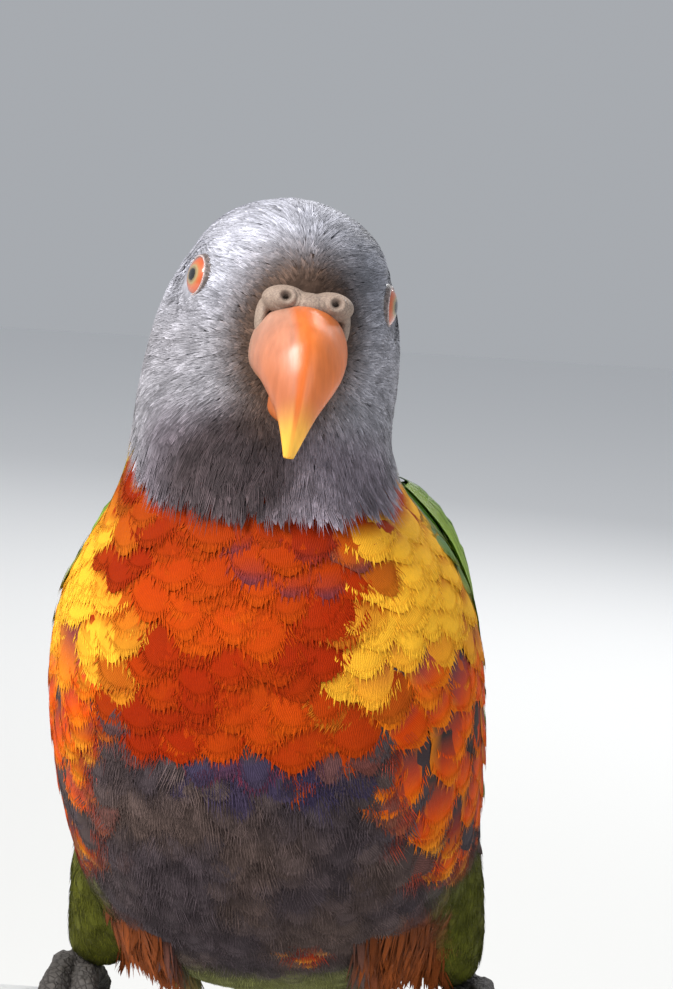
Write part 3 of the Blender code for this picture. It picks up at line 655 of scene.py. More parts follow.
def plumage(points):
    # colour at the root, in the vane and along the rim of a feather rooted at each point, and region shares
    x, forward, up = bodyCoordinates(points)
    hx, hf, hz = headCoordinates(points)
    border = hoodEdge(hx, hf)
    rough = valueNoise(points, 3.0 * mm, 1) - 0.5
    hood = softStep(-0.2, 0.2, hz - border + rough * 1.6)
    behind = softStep(22.0, 14.0, hf)
    collar = softStep(-8.5, -6.5, hz - border + rough * 2) * behind * (1 - hood)
    line = np.interp(up, *zip(*markings["backLine"]))
    back = softStep(1.0, -4.0, forward - line + rough * 3) * (1 - hood) * (1 - collar)
    height, bend, aside = markings["bellyTop"]
    bellyTop = height + bend * (x - aside) ** 2
    belly = softStep(0.5, -0.5, up - bellyTop + rough * 3.0) * (1 - back) * (1 - hood) * (1 - collar)
    side = np.abs(x - 0.5)
    drift = valueNoise(points, 8.0 * mm, 15) - 0.5
    edges = regionEdges["yellow"]
    yellow = softStep(*edges["side"], side + drift * 10 + rough * 5) * softStep(*edges["low"], up + drift * 8)
    yellow = yellow * softStep(*edges["high"], up) * (1 - hood) * (1 - back) * (1 - belly)
    edges = regionEdges["flank"]
    flank = softStep(*edges["side"], side - np.where(x < 0, 3.5, 0) + rough * 3)
    flank = flank * softStep(*edges["low"], up) * softStep(*edges["high"], up) * (1 - back)
    edges = regionEdges["thigh"]
    thigh = softStep(*edges["side"], side) * softStep(*edges["high"], up)
    edges = regionEdges["inner"]
    inner = softStep(*edges["side"], side) * softStep(*edges["outside"], side)
    inner = inner * softStep(*edges["high"], up) * softStep(*edges["front"], forward)
    edges = regionEdges["vent"]
    vent = softStep(*edges["high"], up) * softStep(*edges["front"], forward) * (1 - thigh) * (1 - back)

    draw = valueNoise(points, 4.0 * mm, 3)
    warmth = softStep(0.30, 0.72, 0.45 * draw + 0.55 * valueNoise(points * [1.0, 1.0, 1.7], 8.5 * mm, 16))
    vane = shareOf(evenTone("breast", points), "breastWarm", warmth)
    # painted shade: the upper breast, below the head, darker
    vane = vane * blend(1.0, 0.78, softStep(68, 82, up))[..., None]
    root, rim = vane * [0.80, 0.9, 1.0], vane * [1.08, 1.55, 1.2]
    vane = shareOf(vane, "yellow", yellow)
    root = shareOf(root, "breastWarm", yellow * 0.7)
    rim = shareOf(rim, "yellow", np.clip(yellow * 1.7, 0, 1))
    bars = softStep(-6.5, -5.0, hz - border) * softStep(-1.0, -2.2, hz - border) * softStep(12, 20, hf)
    bars = bars * (valueNoise(points * [1.0, 1.0, 2.0], 4.5 * mm, 14) > 0.62)
    rim = shareOf(rim, "darkBar", bars * 0.9)
    vane = shareOf(vane, "flankTip", flank)
    root = shareOf(root, "flankBase", flank)
    rim = shareOf(rim, "flankRim", flank)

    dull = bellyTone(points)
    toBlue, toRed = (
        np.min([np.hypot(x - spotX, up - spotUp) / size for spotX, spotUp, size in spots], axis=0) + rough * 0.5
        for spots in (blueSpots, redSpots)
    )
    spotted = (toBlue < 0.9) * softStep(20, 26, forward)
    warm = softStep(1.1, 0.6, toRed) * softStep(8, 14, forward)
    scarce = 0.24 + 0.26 * softStep(52, 34, up)
    bright = flank * (valueNoise(points, 4.6 * mm, 8) > scarce)  # red-tipped feathers among the dull ones
    vane = blend(vane, dull, (belly * (1 - bright))[..., None])
    root = blend(root, dull * 0.7, belly[..., None])
    rim = blend(rim, dull * 1.1, (belly * (1 - bright))[..., None])
    vane = shareOf(vane, "breast", warm * 0.9)
    rim = shareOf(rim, "warmRim", warm * 0.8)
    vane = shareOf(vane, "blue", spotted * 0.7)
    rim = shareOf(rim, "blue", spotted * 0.6)
    green = evenTone("green", points) * (0.75 + 0.5 * draw)[..., None]
    vane = blend(vane, green, back[..., None])
    root = blend(root, green * 0.45, back[..., None])
    rim = shareOf(rim, "limeGreen", back * 0.75)
    for share, key in ((vent, "vent"), (thigh, "thighGreen"), (inner, "rust"), (collar, "collar")):
        vane = shareOf(vane, key, share * 0.9)
        root = shareOf(root, key, share * 0.6)
        rim = shareOf(rim, key, share * 0.8)
    tone = headTone(points)
    # the hood's roots much darker and its rims a little paler: the roots' own dusky bases, with painted shade in the
    # gaps between the strands
    root, vane, rim = (
        np.clip(blend(colour, tone * light, hood[..., None]), 0, 1)
        for colour, light in ((root, 0.48), (vane, 1.0), (rim, 1.12))
    )
    shares = {
        "hood": hood, "collar": collar, "back": back, "belly": belly, "yellow": yellow, "flank": flank,
        "thigh": np.maximum(thigh, inner), "vent": vent,
    }
    return root, vane, rim, shares


def colourTurn(shares):
    # where along a feather its root's colour gives way
    late = np.clip(shares["flank"] + shares["belly"] * 0.4 + shares["yellow"] * 0.8, 0, 1)
    return blend(0.30, 0.58, late * (1 - shares["hood"]))


# How the plumage lies, and where it is on an unwrap of the skin

axisSteps = np.linspace(-1.0, 17.0, 73)
axisFront = bodyPoint(axisSteps, 180.0, 0.0)
axisBack = bodyPoint(axisSteps, 0.0, 0.0)
axisSide = bodyPoint(axisSteps, 90.0, 0.0)
axisCentre = (axisFront + axisBack) / 2
axisNormal = np.cross(axisSide - axisCentre, axisFront - axisBack)
axisNormal /= np.linalg.norm(axisNormal, axis=-1)[:, None]
axisNormal *= np.sign(np.sum(axisNormal * np.gradient(axisCentre, axis=0), axis=-1))[:, None]


def alongBody(points):
    # the slice through each point, and the angle round it
    away = np.einsum("nkc,kc->nk", points[:, None] - axisCentre[None], axisNormal)
    rise = np.sum(away > 0, axis=1)
    low = np.clip(rise - 1, 0, len(axisSteps) - 2)
    pick = np.arange(len(points))
    a, b = away[pick, low], away[pick, low + 1]
    share = np.clip(a / np.where(np.abs(a - b) < 1e-9, 1e-9, a - b), 0, 1)
    u = blend(axisSteps[low], axisSteps[low + 1], share)
    centre = blend(axisCentre[low], axisCentre[low + 1], share[:, None])
    back = axisBack[low] - axisFront[low]
    side = axisSide[low] - axisCentre[low]
    offset = points - centre
    angle = np.arctan2(np.sum(offset * side, 1) / np.linalg.norm(side, axis=1),
                       np.sum(offset * back, 1) / np.linalg.norm(back, axis=1))
    return u, np.degrees(angle)


def isThigh(points):
    x, forward, up = bodyCoordinates(points)
    return softStep(15.0, 19.0, np.abs(x)) * softStep(30.0, 22.0, up) * softStep(-16.0, -10.0, forward)


def unwrapAt(points):
    u, angle = alongBody(points)
    place = np.column_stack([0.02 + 0.74 * (angle + 180) / 360, 0.02 + 0.96 * (u + 1) / 18])
    x, forward, up = bodyCoordinates(points)
    leg = isThigh(points) > 0.5
    turn = np.arctan2(np.abs(x) - 24, forward + 1) / (2 * np.pi) + 0.5
    strip = np.column_stack([np.where(x > 0, 0.80, 0.90) + 0.08 * turn, 0.05 + 0.85 * np.clip(up / 40, 0, 1)])
    place[leg] = strip[leg]
    return place


lieValues = {
    "fan": 0.22,  # how far the body's feathers turn outwards
    "leg": (0.12, 0.1, -1.0),  # outwards, back and down
    "parting": (98.0, 110.0),  # heights between which the crown's feathers turn aside
    "neck": (80.0, 93.0),
    "eyeBend": 0.8,
    "eyeReach": (7.0 * mm, 3.0 * mm),
}
headBack = headPoint(0, -1, 0) - headPoint(0, 0, 0)
headBack /= np.linalg.norm(headBack)
headSide = headPoint(1, 0, 0) - headPoint(0, 0, 0)
headSide /= np.linalg.norm(headSide)


def lieOf(points, normals):
    # unit direction that the feathers point in
    hx, _, hz = headCoordinates(points)
    u, _ = alongBody(points)
    low = np.clip(np.searchsorted(axisSteps, u) - 1, 1, len(axisSteps) - 2)
    body = axisCentre[low - 1] - axisCentre[low + 1]
    body /= np.linalg.norm(body, axis=1)[:, None]
    x = bodyCoordinates(points)[0]
    fan = np.zeros_like(points)
    fan[:, 0] = np.clip(x / 30, -1, 1) * lieValues["fan"]
    body = body + fan
    leg = isThigh(points)[:, None]
    out, rear, low = lieValues["leg"]
    down = np.column_stack([np.sign(x) * out, np.full(len(x), rear), np.full(len(x), low)])
    body = blend(body, down, leg)
    head = points - billRoot
    head /= np.linalg.norm(head, axis=1)[:, None]
    top = softStep(*lieValues["parting"], hz)[:, None]
    side = headSide * np.clip(hx / 5, -1, 1)[:, None]
    head = head * (1 - 0.6 * top) + headBack * (0.15 + 0.5 * top) + side * (1.0 * top)
    share = softStep(*lieValues["neck"], hz)[:, None]
    lie = blend(body, head, share)
    for place in eyePlaces:  # bent round the eyes
        away = points - place
        reach = np.linalg.norm(away, axis=1)
        push = softStep(*lieValues["eyeReach"], reach)[:, None]
        lie = lie + away / reach[:, None] * push * lieValues["eyeBend"]
    lie -= normals * np.sum(lie * normals, axis=1)[:, None]
    return lie / np.linalg.norm(lie, axis=1)[:, None]


# Feathers rooted on the skin

def normalsAt(points, triangles):
    a, b, c = (points[triangles[:, k]] for k in range(3))
    face = np.cross(b - a, c - a)
    found = np.zeros_like(points)
    for k in range(3):
        np.add.at(found, triangles[:, k], face)
    return found / np.linalg.norm(found, axis=1)[:, None]


skinNormals = normalsAt(skinPoints, skinTriangles)


def ontoSkin(points):
    found = np.empty_like(points)
    index = np.empty(len(points), dtype=int)
    for i, point in enumerate(points.tolist()):
        place, _, face, _ = skinTree.find_nearest(point)
        found[i] = place
        index[i] = face
    corner = skinTriangles[index]
    spots = skinPoints[corner]
    apart = np.linalg.norm(spots - found[:, None], axis=-1) + 0.05 * mm
    weight = 1 / apart
    normal = np.einsum("nkc,nk->nc", skinNormals[corner], weight)
    return found, normal / np.linalg.norm(normal, axis=1)[:, None]


def showing(points, normals, reach):
    # where the free end of a feather rooted at each point is seen
    return points + lieOf(points, normals) * reach


steps = [(dx, dy, dz) for dx in (-1, 0, 1) for dy in (-1, 0, 1) for dz in (-1, 0, 1)]


def scatter(spacing, keep, tries, seed):
    # roots drawn over the skin, none nearer to another than the spacing there
    draw = np.random.default_rng(seed)
    a, b, c = (skinPoints[skinTriangles[:, k]] for k in range(3))
    middle = (a + b + c) / 3
    face = np.cross(b - a, c - a)
    area = np.linalg.norm(face, axis=1) * 0.5
    area = area * keep(middle, face / (area[:, None] * 2 + 1e-15))
    area = area / spacing(middle) ** 2
    pick = draw.choice(len(area), size=tries, p=area / area.sum())
    s, t = draw.random(tries), draw.random(tries)
    flip = s + t > 1
    s[flip], t[flip] = 1 - s[flip], 1 - t[flip]
    points = a[pick] + (b[pick] - a[pick]) * s[:, None] + (c[pick] - a[pick]) * t[:, None]
    gap = spacing(points)
    cell = gap.max()
    grid, chosen = {}, []
    keys = np.floor(points / cell).astype(int).tolist()
    where = points.tolist()
    for i, (px, py, pz) in enumerate(where):
        kx, ky, kz = keys[i]
        limit = gap[i] ** 2
        near = (where[j] for dx, dy, dz in steps for j in grid.get((kx + dx, ky + dy, kz + dz), ()))
        if all((px - qx) ** 2 + (py - qy) ** 2 + (pz - qz) ** 2 >= limit for qx, qy, qz in near):
            grid.setdefault((kx, ky, kz), []).append(i)
            chosen.append(i)
    return ontoSkin(points[chosen])


def lensShape(rows, cells):
    # a thin closed vane: rows of (place along, share of the width, share pulled back at the sides)
    count = len(rows)
    along, across, side = [], [], []
    top = {}
    for i, (s, width, pull) in enumerate(rows):
        for k in range(cells + 1):
            w = 2 * k / cells - 1
            top[i, k] = len(along)
            along.append(s - pull * w * w)
            across.append(w * width)
            side.append((w, 1.0))
    bottom = dict(top)
    for i in range(1, count - 1):
        for k in range(1, cells):
            bottom[i, k] = len(along)
            along.append(along[top[i, k]])
            across.append(across[top[i, k]])
            side.append((side[top[i, k]][0], -1.0))
    faces = []
    for i in range(count - 1):
        for k in range(cells):
            a, b, c, d = (i, k), (i, k + 1), (i + 1, k + 1), (i + 1, k)
            faces.append([top[d], top[c], top[b], top[a]])
            faces.append([bottom[a], bottom[b], bottom[c], bottom[d]])
    ends = {top[i, k] for i in (0, count - 1) for k in range(cells + 1)}
    fill = [0.0 if abs(w) == 1 or n in ends else flag for n, (w, flag) in enumerate(side)]
    made = {"along": along, "across": across, "side": [w for w, _ in side], "fill": fill, "faces": faces}
    return {key: np.array(value) for key, value in made.items()}


def strandShape(strands, seed, half, fan, reach=(0.7, 1.0), origin=0.0, curve=0.0, scale=1.0, wide=1.0):
    # a bundle of fine closed spikes side by side
    draw = np.random.default_rng(seed)
    along, across, fill, faces = [], [], [], []
    for n in range(strands):
        start = (n + 0.5) / strands * 2 - 1 + draw.uniform(-0.3, 0.3) / strands
        lean = start * fan + draw.uniform(-0.12, 0.12)
        length = draw.uniform(*reach)
        begin = origin - curve * start * start
        first = len(along)
        for s, w, f in ((0, 0, 0), (0.35, -half, 1), (0.35, half, 1), (0.35, 0, -1), (1, 0, 0)):
            along.append(begin + s * length * scale)
            across.append(start * wide + lean * s + w)
            fill.append(f)
        a, b, c, d, e = range(first, first + 5)
        faces += [[a, b, c], [a, c, d], [a, d, b], [e, c, b], [e, d, c], [e, b, d]]
    made = {"along": along, "across": across, "side": np.clip(across, -1, 1), "fill": fill, "faces": faces}
    return {key: np.array(value) for key, value in made.items()}


shapes = {
    "plume": lensShape(((0, 0.5, 0), (0.35, 1.0, 0.03), (0.75, 0.75, 0.10), (1.0, 0.18, 0.05)), 2),
    "contour": lensShape((
        (0, 0.45, 0), (0.3, 0.85, 0), (0.6, 1.0, 0.05), (0.82, 0.94, 0.13), (0.95, 0.72, 0.19), (1.0, 0.36, 0.10),
    ), 4),
    "fringe": strandShape(34, 5, 0.023, 0.12, (0.40, 1.05), 0.84, 0.30, 0.28, 0.88),
    "tuft": strandShape(5, 8, 0.095, 0.45),
    "barbs": strandShape(5, 9, 0.17, 0.30, (0.65, 1.0)),
}


def underHood(points):
    x, forward, up = headCoordinates(points)
    return softStep(-2.0, 1.2, up - hoodEdge(x, forward))


def feathers(shape, roots, normals, length, halfWidth, depth, rise, colours, seed, turn, thick=0.10, cup=0.05,
             turnAt=0.35, courseAt=None, hang=0.0, tuck=0.0):
    # length and halfWidth in metres for each root; depth is the coat's; rise is its share at root and tip;
    # colours are those at the root, in the vane and along the rim
    form = shapes[shape]
    draw = np.random.default_rng(seed)
    count = len(roots)
    lie = lieOf(roots, normals)
    angle = np.radians(draw.normal(0, turn, count))[:, None]
    aside = np.cross(normals, lie)
    lie = lie * np.cos(angle) + aside * np.sin(angle)
    if hang:  # these hang free of the skin
        lie = blend(lie, np.array([0.0, 0.0, -1.0]), hang * 0.75)
        lie /= np.linalg.norm(lie, axis=1)[:, None]
    aside = np.cross(normals, lie)
    length = length * draw.uniform(0.80, 1.15, count)
    halfWidth = halfWidth * draw.uniform(0.82, 1.12, count)
    along, across, side, fill = (form[k][None, :] for k in ("along", "across", "side", "fill"))
    flat = roots[:, None] + lie[:, None] * (along * length[:, None])[..., None]
    flat = flat + aside[:, None] * (across * halfWidth[:, None])[..., None]
    place, normal = ontoSkin(flat.reshape(-1, 3))
    if hang:
        place = blend(place.reshape(flat.shape), flat, hang).reshape(-1, 3)
    rootShare, tipShare = (np.broadcast_to(value, count)[:, None] for value in rise)
    tall = depth[:, None] * (rootShare + (tipShare - rootShare) * np.clip(along, 0, 1.2) ** 0.85)
    tall = tall * draw.uniform(0.88, 1.06, count)[:, None]
    if tuck:  # the roots lie low where the hood covers them
        tall = tall * (1 - tuck * underHood(place).reshape(tall.shape))
    tall = tall - cup * halfWidth[:, None] * side**2 + fill * thick * mm * 0.5
    points = place + normal * tall.reshape(-1, 1)
    root, vane, rim = colours
    vary = draw.uniform(0.93, 1.06, count)[:, None]
    turnAt = np.broadcast_to(turnAt, count)[:, None]
    share = softStep(turnAt - 0.12, turnAt + 0.12, along)[..., None]
    tint = blend((root * vary)[:, None], (vane * vary)[:, None], share)
    outer = softStep(0.72, 1.0, np.maximum(np.abs(side), along))[..., None]
    tint = blend(tint, (rim * vary)[:, None], outer * np.ones((count, 1, 1)) * 0.8)
    size = len(form["along"])
    course = (along, side) if courseAt is None else (courseAt, side * 0.6)
    vanes = np.stack(np.broadcast_arrays(*course, draw.random(count)[:, None]), axis=-1)
    bakeAt = unwrapAt(roots)[:, None] + 0.003 * np.stack(np.broadcast_arrays(along - 0.5, side * 0.5), axis=-1)
    faces = form["faces"][None] + (np.arange(count) * size)[:, None, None]
    return {
        "points": points, "faces": faces.reshape(-1, form["faces"].shape[1]),
        "tint": tint.reshape(-1, 3), "vane": vanes.reshape(-1, 3), "bakeAt": np.clip(bakeAt.reshape(-1, 2), 0, 1),
    }


# The skin carries the plumage's colours, painted shade included, a little darker
skinRoot, skinVane = plumage(skinPoints)[:2]
paint(skin.data, blend(skinRoot, skinVane, 0.35) * 0.8)
addVane(skin.data)
addBakeMap(skin.data, unwrapAt(skinPoints))


coat = {
    # the wings' front edge: slice and angle
    "wingFront": ((-1.5, 32), (0, 50), (2, 64), (4, 73), (5, 75), (6.5, 76), (8.1, 73), (8.75, 60)),
    "underWing": 9.0,  # degrees that the coat runs on under a wing
    "breastSpacing": 2.35 * mm,
    "flankSpacing": 3.1 * mm,
    "bellySpacing": 2.2 * mm,
    "backSpacing": 2.9 * mm,
    "legSpacing": 1.5 * mm,
    "strandSpacing": 0.74 * mm,
    "hangSpacing": 1.0 * mm,
    "size": (8.8, 4.1),  # length and half width of a feather in mm, and of those in each region
    "sizes": {
        "belly": (7.5, 2.7), "back": (9.5, 3.6), "thigh": (5.0, 1.3), "vent": (11.0, 2.6), "collar": (5.0, 1.5),
        "flank": (11.0, 3.9),
    },
}
# Two layers on the hood. spacing (in metres), length and half width (in mm) are for the face and for low on the neck.
# keepAt and seenAt are how far down its lie a feather's region and colour are looked up. byEye and byBorder scale
# length and half width beside the eyes and by the hood's border. rise is the share of the coat's depth at a feather's
# root and tip, each away from the border and by it. draws are the seeds for places, lots and feathers
hoodLayers = {
    "hood": {
        "shape": "plume", "spacing": (0.52 * mm, 0.92 * mm), "keepAt": 3.4 * mm, "seenAt": 2.8 * mm,
        "length": (1.5, 5.4), "half": (0.24, 0.46), "byEye": (0.5, 0.75), "byBorder": (0.62, 1.15),
        "rise": ((0.30, 0.50), (0.86, 1.0)), "thick": 0.03, "cup": 0.05, "turn": 7.0, "draws": (21, 5, 31),
    },
    "hood_barbs": {
        "shape": "barbs", "spacing": (0.46 * mm, 0.70 * mm), "keepAt": 3.8 * mm, "seenAt": 3.0 * mm,
        "length": (2.0, 7.0), "half": (0.26, 0.50), "byEye": (0.6, 1.0), "byBorder": (0.75, 1.0),
        "rise": ((0.70, 0.74), (0.99, 1.10)), "thick": 0.05, "cup": 0.0, "turn": 8.0, "draws": (24, 7, 36),
        "pale": (0.62, 0.80, 1.5),
    },
}


hoodReach = {
    "spacing": (8 * mm, 24 * mm),  # from the bill
    "size": (7 * mm, 26 * mm),
    "eye": (3.0 * mm, 8.0 * mm),
    "border": (9.0, 3.0),  # over the hood's lower border, in mm
    "tries": 90000,
}


def underWing(points, normals):
    # true where a wing of the frame lies close over the skin, and over a point a little further to the front too,
    # so that the coat runs on a little way under the wing
    u, angle = alongBody(points)
    ahead = bodyPoint(u, angle + np.sign(angle) * coat["underWing"], -1.5 * mm)
    hidden = np.zeros(len(points), dtype=bool)
    for name in ("wing_left", "wing_right"):
        bm = copyOfNodes((name,))
        tree = BVHTree.FromBMesh(bm)
        bm.free()
        for i, (point, front, normal) in enumerate(zip(points.tolist(), ahead.tolist(), normals.tolist())):
            normal = Vector(normal)
            hits = [tree.ray_cast(Vector(p) - normal * 0.5 * mm, normal, 7 * mm)[0] for p in (point, front)]
            hidden[i] |= None not in hits
    return hidden


def openSkin(points, normals):
    # true where feathers may stand on the hood: not on the eyes, the cere and the bill
    return (eyeReach(points) > 2.75 * mm) & (ovalReach(points, [0.3, 40.5, 98.6], [5.6, 6.5, 8.0]) > 1.0)


def rootsWhere(spacing, keep, tries, seed, clear):
    roots, normals = scatter(spacing, keep, tries, seed)
    kept = clear(roots, normals)
    return roots[kept], normals[kept]


def addCoat(name, part, finish, slot):
    dress(meshFrom(name, [part], featherMaterials[finish]), slot)
    print(name, len(part["faces"]) * (part["faces"].shape[1] - 2), "triangles")


def hoodShare(points, normals, reach):
    return plumage(showing(points, normals, reach))[3]["hood"]


def buildHood(name, layer):
    def toBill(points):
        return np.linalg.norm(points - billRoot, axis=-1)

    def spacing(points):
        return blend(*layer["spacing"], softStep(*hoodReach["spacing"], toBill(points)))

    def onHood(points, normals):
        return hoodShare(points, normals, layer["keepAt"]) > 0.5

    placeSeed, lotSeed, seed = layer["draws"]
    roots, normals = rootsWhere(spacing, onHood, hoodReach["tries"], placeSeed, openSkin)
    root, vane, rim, _ = plumage(showing(roots, normals, layer["seenAt"]))
    depth = coatDepth(roots)
    size = softStep(*hoodReach["size"], toBill(roots))
    far = softStep(*hoodReach["eye"], eyeReach(roots))
    hx, hf, hz = headCoordinates(roots)
    low = softStep(*hoodReach["border"], hz - hoodEdge(hx, hf))
    length, half = (
        blend(*layer[key], size) * blend(byEye, 1.0, far) * blend(1.0, byBorder, low) * mm
        for key, byEye, byBorder in zip(("length", "half"), layer["byEye"], layer["byBorder"])
    )
    if "pale" in layer:
        pale = drawnTone(layer["pale"], np.random.default_rng(6).random(len(roots)))
        # the barbs' roots at half tone: their dusky bases, with painted shade between the strands; each barb's tone is
        # drawn
        root, vane, rim = vane * 0.5, vane * pale, vane * pale
    for n, lot in enumerate(np.array_split(np.random.default_rng(lotSeed).permutation(len(roots)), 3)):
        rise = [blend(*share, low[lot]) for share in layer["rise"]]
        colours = (root[lot], vane[lot], rim[lot])
        part = feathers(layer["shape"], roots[lot], normals[lot], length[lot], half[lot], depth[lot], rise, colours,
                        seed + n, layer["turn"], layer["thick"], layer["cup"])
        addCoat(f"{name}_{'abc'[n]}", part, "hood", "hood")


def coatSpacing(points):
    shares = plumage(points)[3]
    gap = np.full(len(points), coat["breastSpacing"])
    gap = blend(gap, coat["flankSpacing"], shares["flank"])
    gap = blend(gap, coat["bellySpacing"], shares["belly"] * (1 - shares["flank"]))
    gap = blend(gap, coat["backSpacing"], shares["back"])
    gap = blend(gap, coat["legSpacing"], np.maximum(shares["thigh"], shares["collar"] * 0.8))
    return gap * (0.85 + 0.3 * valueNoise(points, 5 * mm, 9))


def offWing(points, normals):
    return ~underWing(points, normals)


def buildBodyCoat():
    def offHood(points, normals):
        return hoodShare(points, normals, 5.5 * mm) < 0.5

    roots, normals = rootsWhere(coatSpacing, offHood, 30000, 22, offWing)
    root, vane, rim, shares = plumage(showing(roots, normals, 6.5 * mm))
    depth = coatDepth(roots)
    length, half = (np.full(len(roots), value) for value in coat["size"])
    for key, (long, wide) in coat["sizes"].items():
        length = blend(length, long, shares[key])
        half = blend(half, wide, shares[key])
    # raised where they lap over the wing's front edge
    u, angle = alongBody(roots)
    edge = np.interp(u, *zip(*coat["wingFront"]))
    lap = softStep(30, 10, np.abs(angle) - edge) * softStep(1.5, 3.5, u) * softStep(9.4, 8.4, u)
    turnAt = colourTurn(shares)
    soft = np.maximum(shares["belly"] * (1 - shares["flank"]), shares["thigh"])
    kinds = np.where(shares["back"] > 0.5, 1, np.where(soft > 0.5, 2, 0))
    regions = (("breast", "breast", "breast"), ("back", "green", "green"), ("belly", "belly", "thigh"))
    for kind, (name, finish, slot) in enumerate(regions):
        lot = np.flatnonzero(kinds == kind)
        # barbs stand out past the vane's end; the same draws lay them over the same feather
        for shape, word, low, high, base, more in (
            ("contour", "feathers", (0.56, 0.10), (0.86, 0.38), root, {"turnAt": turnAt[lot]}),
            ("fringe", "barbs", (0.80, 0.26), (0.89, 0.38), vane, {"thick": 0.03, "courseAt": 0.5}),
        ):
            rise = [share + lifted * lap[lot] for share, lifted in (low, high)]
            part = feathers(shape, roots[lot], normals[lot], length[lot] * mm, half[lot] * mm, depth[lot], rise,
                            (base[lot], vane[lot], rim[lot]), 41 + kind, 15.0, tuck=0.8, **more)
            addCoat(f"{name}_{word}", part, finish, slot)


strandValues = {
    "length": 5.2 * mm,
    "half": 0.75 * mm,
    "rise": (0.60, 1.04),
    "pale": (0.70, 1.9, 2.5),  # least, span and power of the drawn tone
    "turn": 12.0,
}
hangValues = {
    "aside": (17.5, 5.0),  # middle and half width of each strip between belly and leg
    "up": (7, 24),
    "forward": (0, 26),
    "length": (5.5, 4.5),  # least and span, in mm
    "depth": 1.2 * mm,
    "rise": (0.3, 0.9),
    "rust": (12.0, 14.5),
    "pale": (0.55, 0.8, 1.5),
    "turn": 16.0,
    "hang": 0.7,
}


def drawnTone(pale, drawn):
    least, span, power = pale
    return least + span * drawn[:, None] ** power


def buildStrands():
    # hair-like strands over the belly, legs and vent
    def where(points, normals):
        shares = plumage(showing(points, normals, 3 * mm))[3]
        dull = np.max([shares[key] for key in ("belly", "thigh", "vent")], axis=0)
        return (dull > 0.5) & (shares["back"] < 0.5) & (shares["flank"] < 0.7)

    roots, normals = rootsWhere(lambda p: np.full(len(p), coat["strandSpacing"]), where, 22000, 23, offWing)
    vane = plumage(showing(roots, normals, 3 * mm))[1]
    v = strandValues
    count = len(roots)
    pale = drawnTone(v["pale"], np.random.default_rng(7).random(count))
    colours = (vane * 0.7, vane * pale, vane * pale)
    length, half = (np.full(count, v[key]) for key in ("length", "half"))
    part = feathers("tuft", roots, normals, length, half, coatDepth(roots), v["rise"], colours, 51, v["turn"],
                    thick=0.07, cup=0.0)
    addCoat("belly_strands", part, "belly", "thigh")


def buildHanging():
    # loose plumes that hang between the belly and the legs
    v = hangValues

    def between(points, normals):
        x, forward, up = bodyCoordinates(points)
        inside = np.abs(np.abs(x) - v["aside"][0]) < v["aside"][1]
        for value, (low, high) in ((up, v["up"]), (forward, v["forward"])):
            inside = inside & (value > low) & (value < high)
        return inside

    roots, normals = scatter(lambda p: np.full(len(p), coat["hangSpacing"]), between, 4000, 25)
    vane = shareOf(plumage(roots)[1], "rust", softStep(*v["rust"], np.abs(bodyCoordinates(roots)[0])))
    count = len(roots)
    drawn = np.random.default_rng(8).random(count)
    pale = drawnTone(v["pale"], drawn)
    least, span = v["length"]
    for shape, name, wide in (("plume", "leg_plumes", 0.6), ("barbs", "leg_strands", 1.1)):
        half, depth = np.full(count, wide * mm), np.full(count, v["depth"])
        part = feathers(shape, roots, normals, (least + span * drawn) * mm, half, depth, v["rise"],
                        (vane * 0.4, vane * pale, vane * pale), 61, v["turn"], cup=0.1, hang=v["hang"])
        addCoat(name, part, "belly", "thigh")


for name, layer in hoodLayers.items():
    buildHood(name, layer)
buildBodyCoat()
buildStrands()
buildHanging()


# Wings and tail

def edgeAt(edge, u):
    # where an edge is at each slice, smoothed between its (slice, value) points
    found = np.full(np.shape(u), float(edge[-1][1]))
    done = np.zeros(np.shape(u), dtype=bool)
    for (high, highValue), (low, lowValue) in zip(edge, edge[1:]):
        here = (u >= low) & ~done
        found = np.where(here, blend(lowValue, highValue, softStep(low, high, u)), found)
        done |= here
    return found


def sheetPart(points, lower, tint, vane, bakeAt, side=1):
    # a closed plate from two grids of points, rows by columns; side is -1 where its columns run the other way
    rows, columns = points.shape[:2]
    top = np.arange(rows * columns).reshape(rows, columns)
    bottom = top.copy()
    inner = np.arange((rows - 2) * (columns - 2)).reshape(rows - 2, columns - 2) + rows * columns
    bottom[1:-1, 1:-1] = inner
    faces = []
    for grid, flip in ((top, 1), (bottom, -1)):
        quads = np.stack([grid[:-1, :-1], grid[:-1, 1:], grid[1:, 1:], grid[1:, :-1]], axis=-1).reshape(-1, 4)
        faces.append(quads[:, :: flip * side])
    grids = {"points": (points, lower), "tint": (tint, tint), "vane": (vane, vane), "bakeAt": (bakeAt, bakeAt)}
    part = {
        key: np.concatenate([over.reshape(-1, over.shape[-1]), under[1:-1, 1:-1].reshape(-1, over.shape[-1])])
        for key, (over, under) in grids.items()
    }
    return {**part, "faces": np.concatenate(faces)}


bodyStep, tailStep = 14.0, tailLayout["step"]  # mm between slices


def endedBefore(tips, u):
    # how many feathers of a row, counted from its shorter end, have ended above each slice
    tips = np.array(tips, float)
    if np.ptp(tips) < 0.5:
        return np.zeros(np.shape(u))
    return np.interp(-u, -tips, np.arange(len(tips), dtype=float))


def vaneSteps(root, tip, rounding, count):
    # slices along a vane from its root, its share of the width at each as it draws in to a rounded tip, and the way
    arc = np.array([0.72, 0.45, 0.22, 0.06, 0.0])
    u = np.concatenate([np.linspace(root, tip + rounding, count), tip + rounding * arc])
    width = np.concatenate([np.ones(count), np.sqrt(np.clip(1 - (1 - arc) ** 2, 0.02, 1))])
    return u, width, (root - u) / (root - tip)


def vanePart(side, u, angle, lift, thick, s, across, tint, draw, bakeAt):
    upper, lower = (bodyPoint(u[:, None], angle, high) for high in (lift, lift - thick))
    vane = np.stack([s, across, np.full_like(s, draw.random())], axis=-1)
    return sheetPart(upper, lower, tint, vane, np.stack(bakeAt, axis=-1), side)


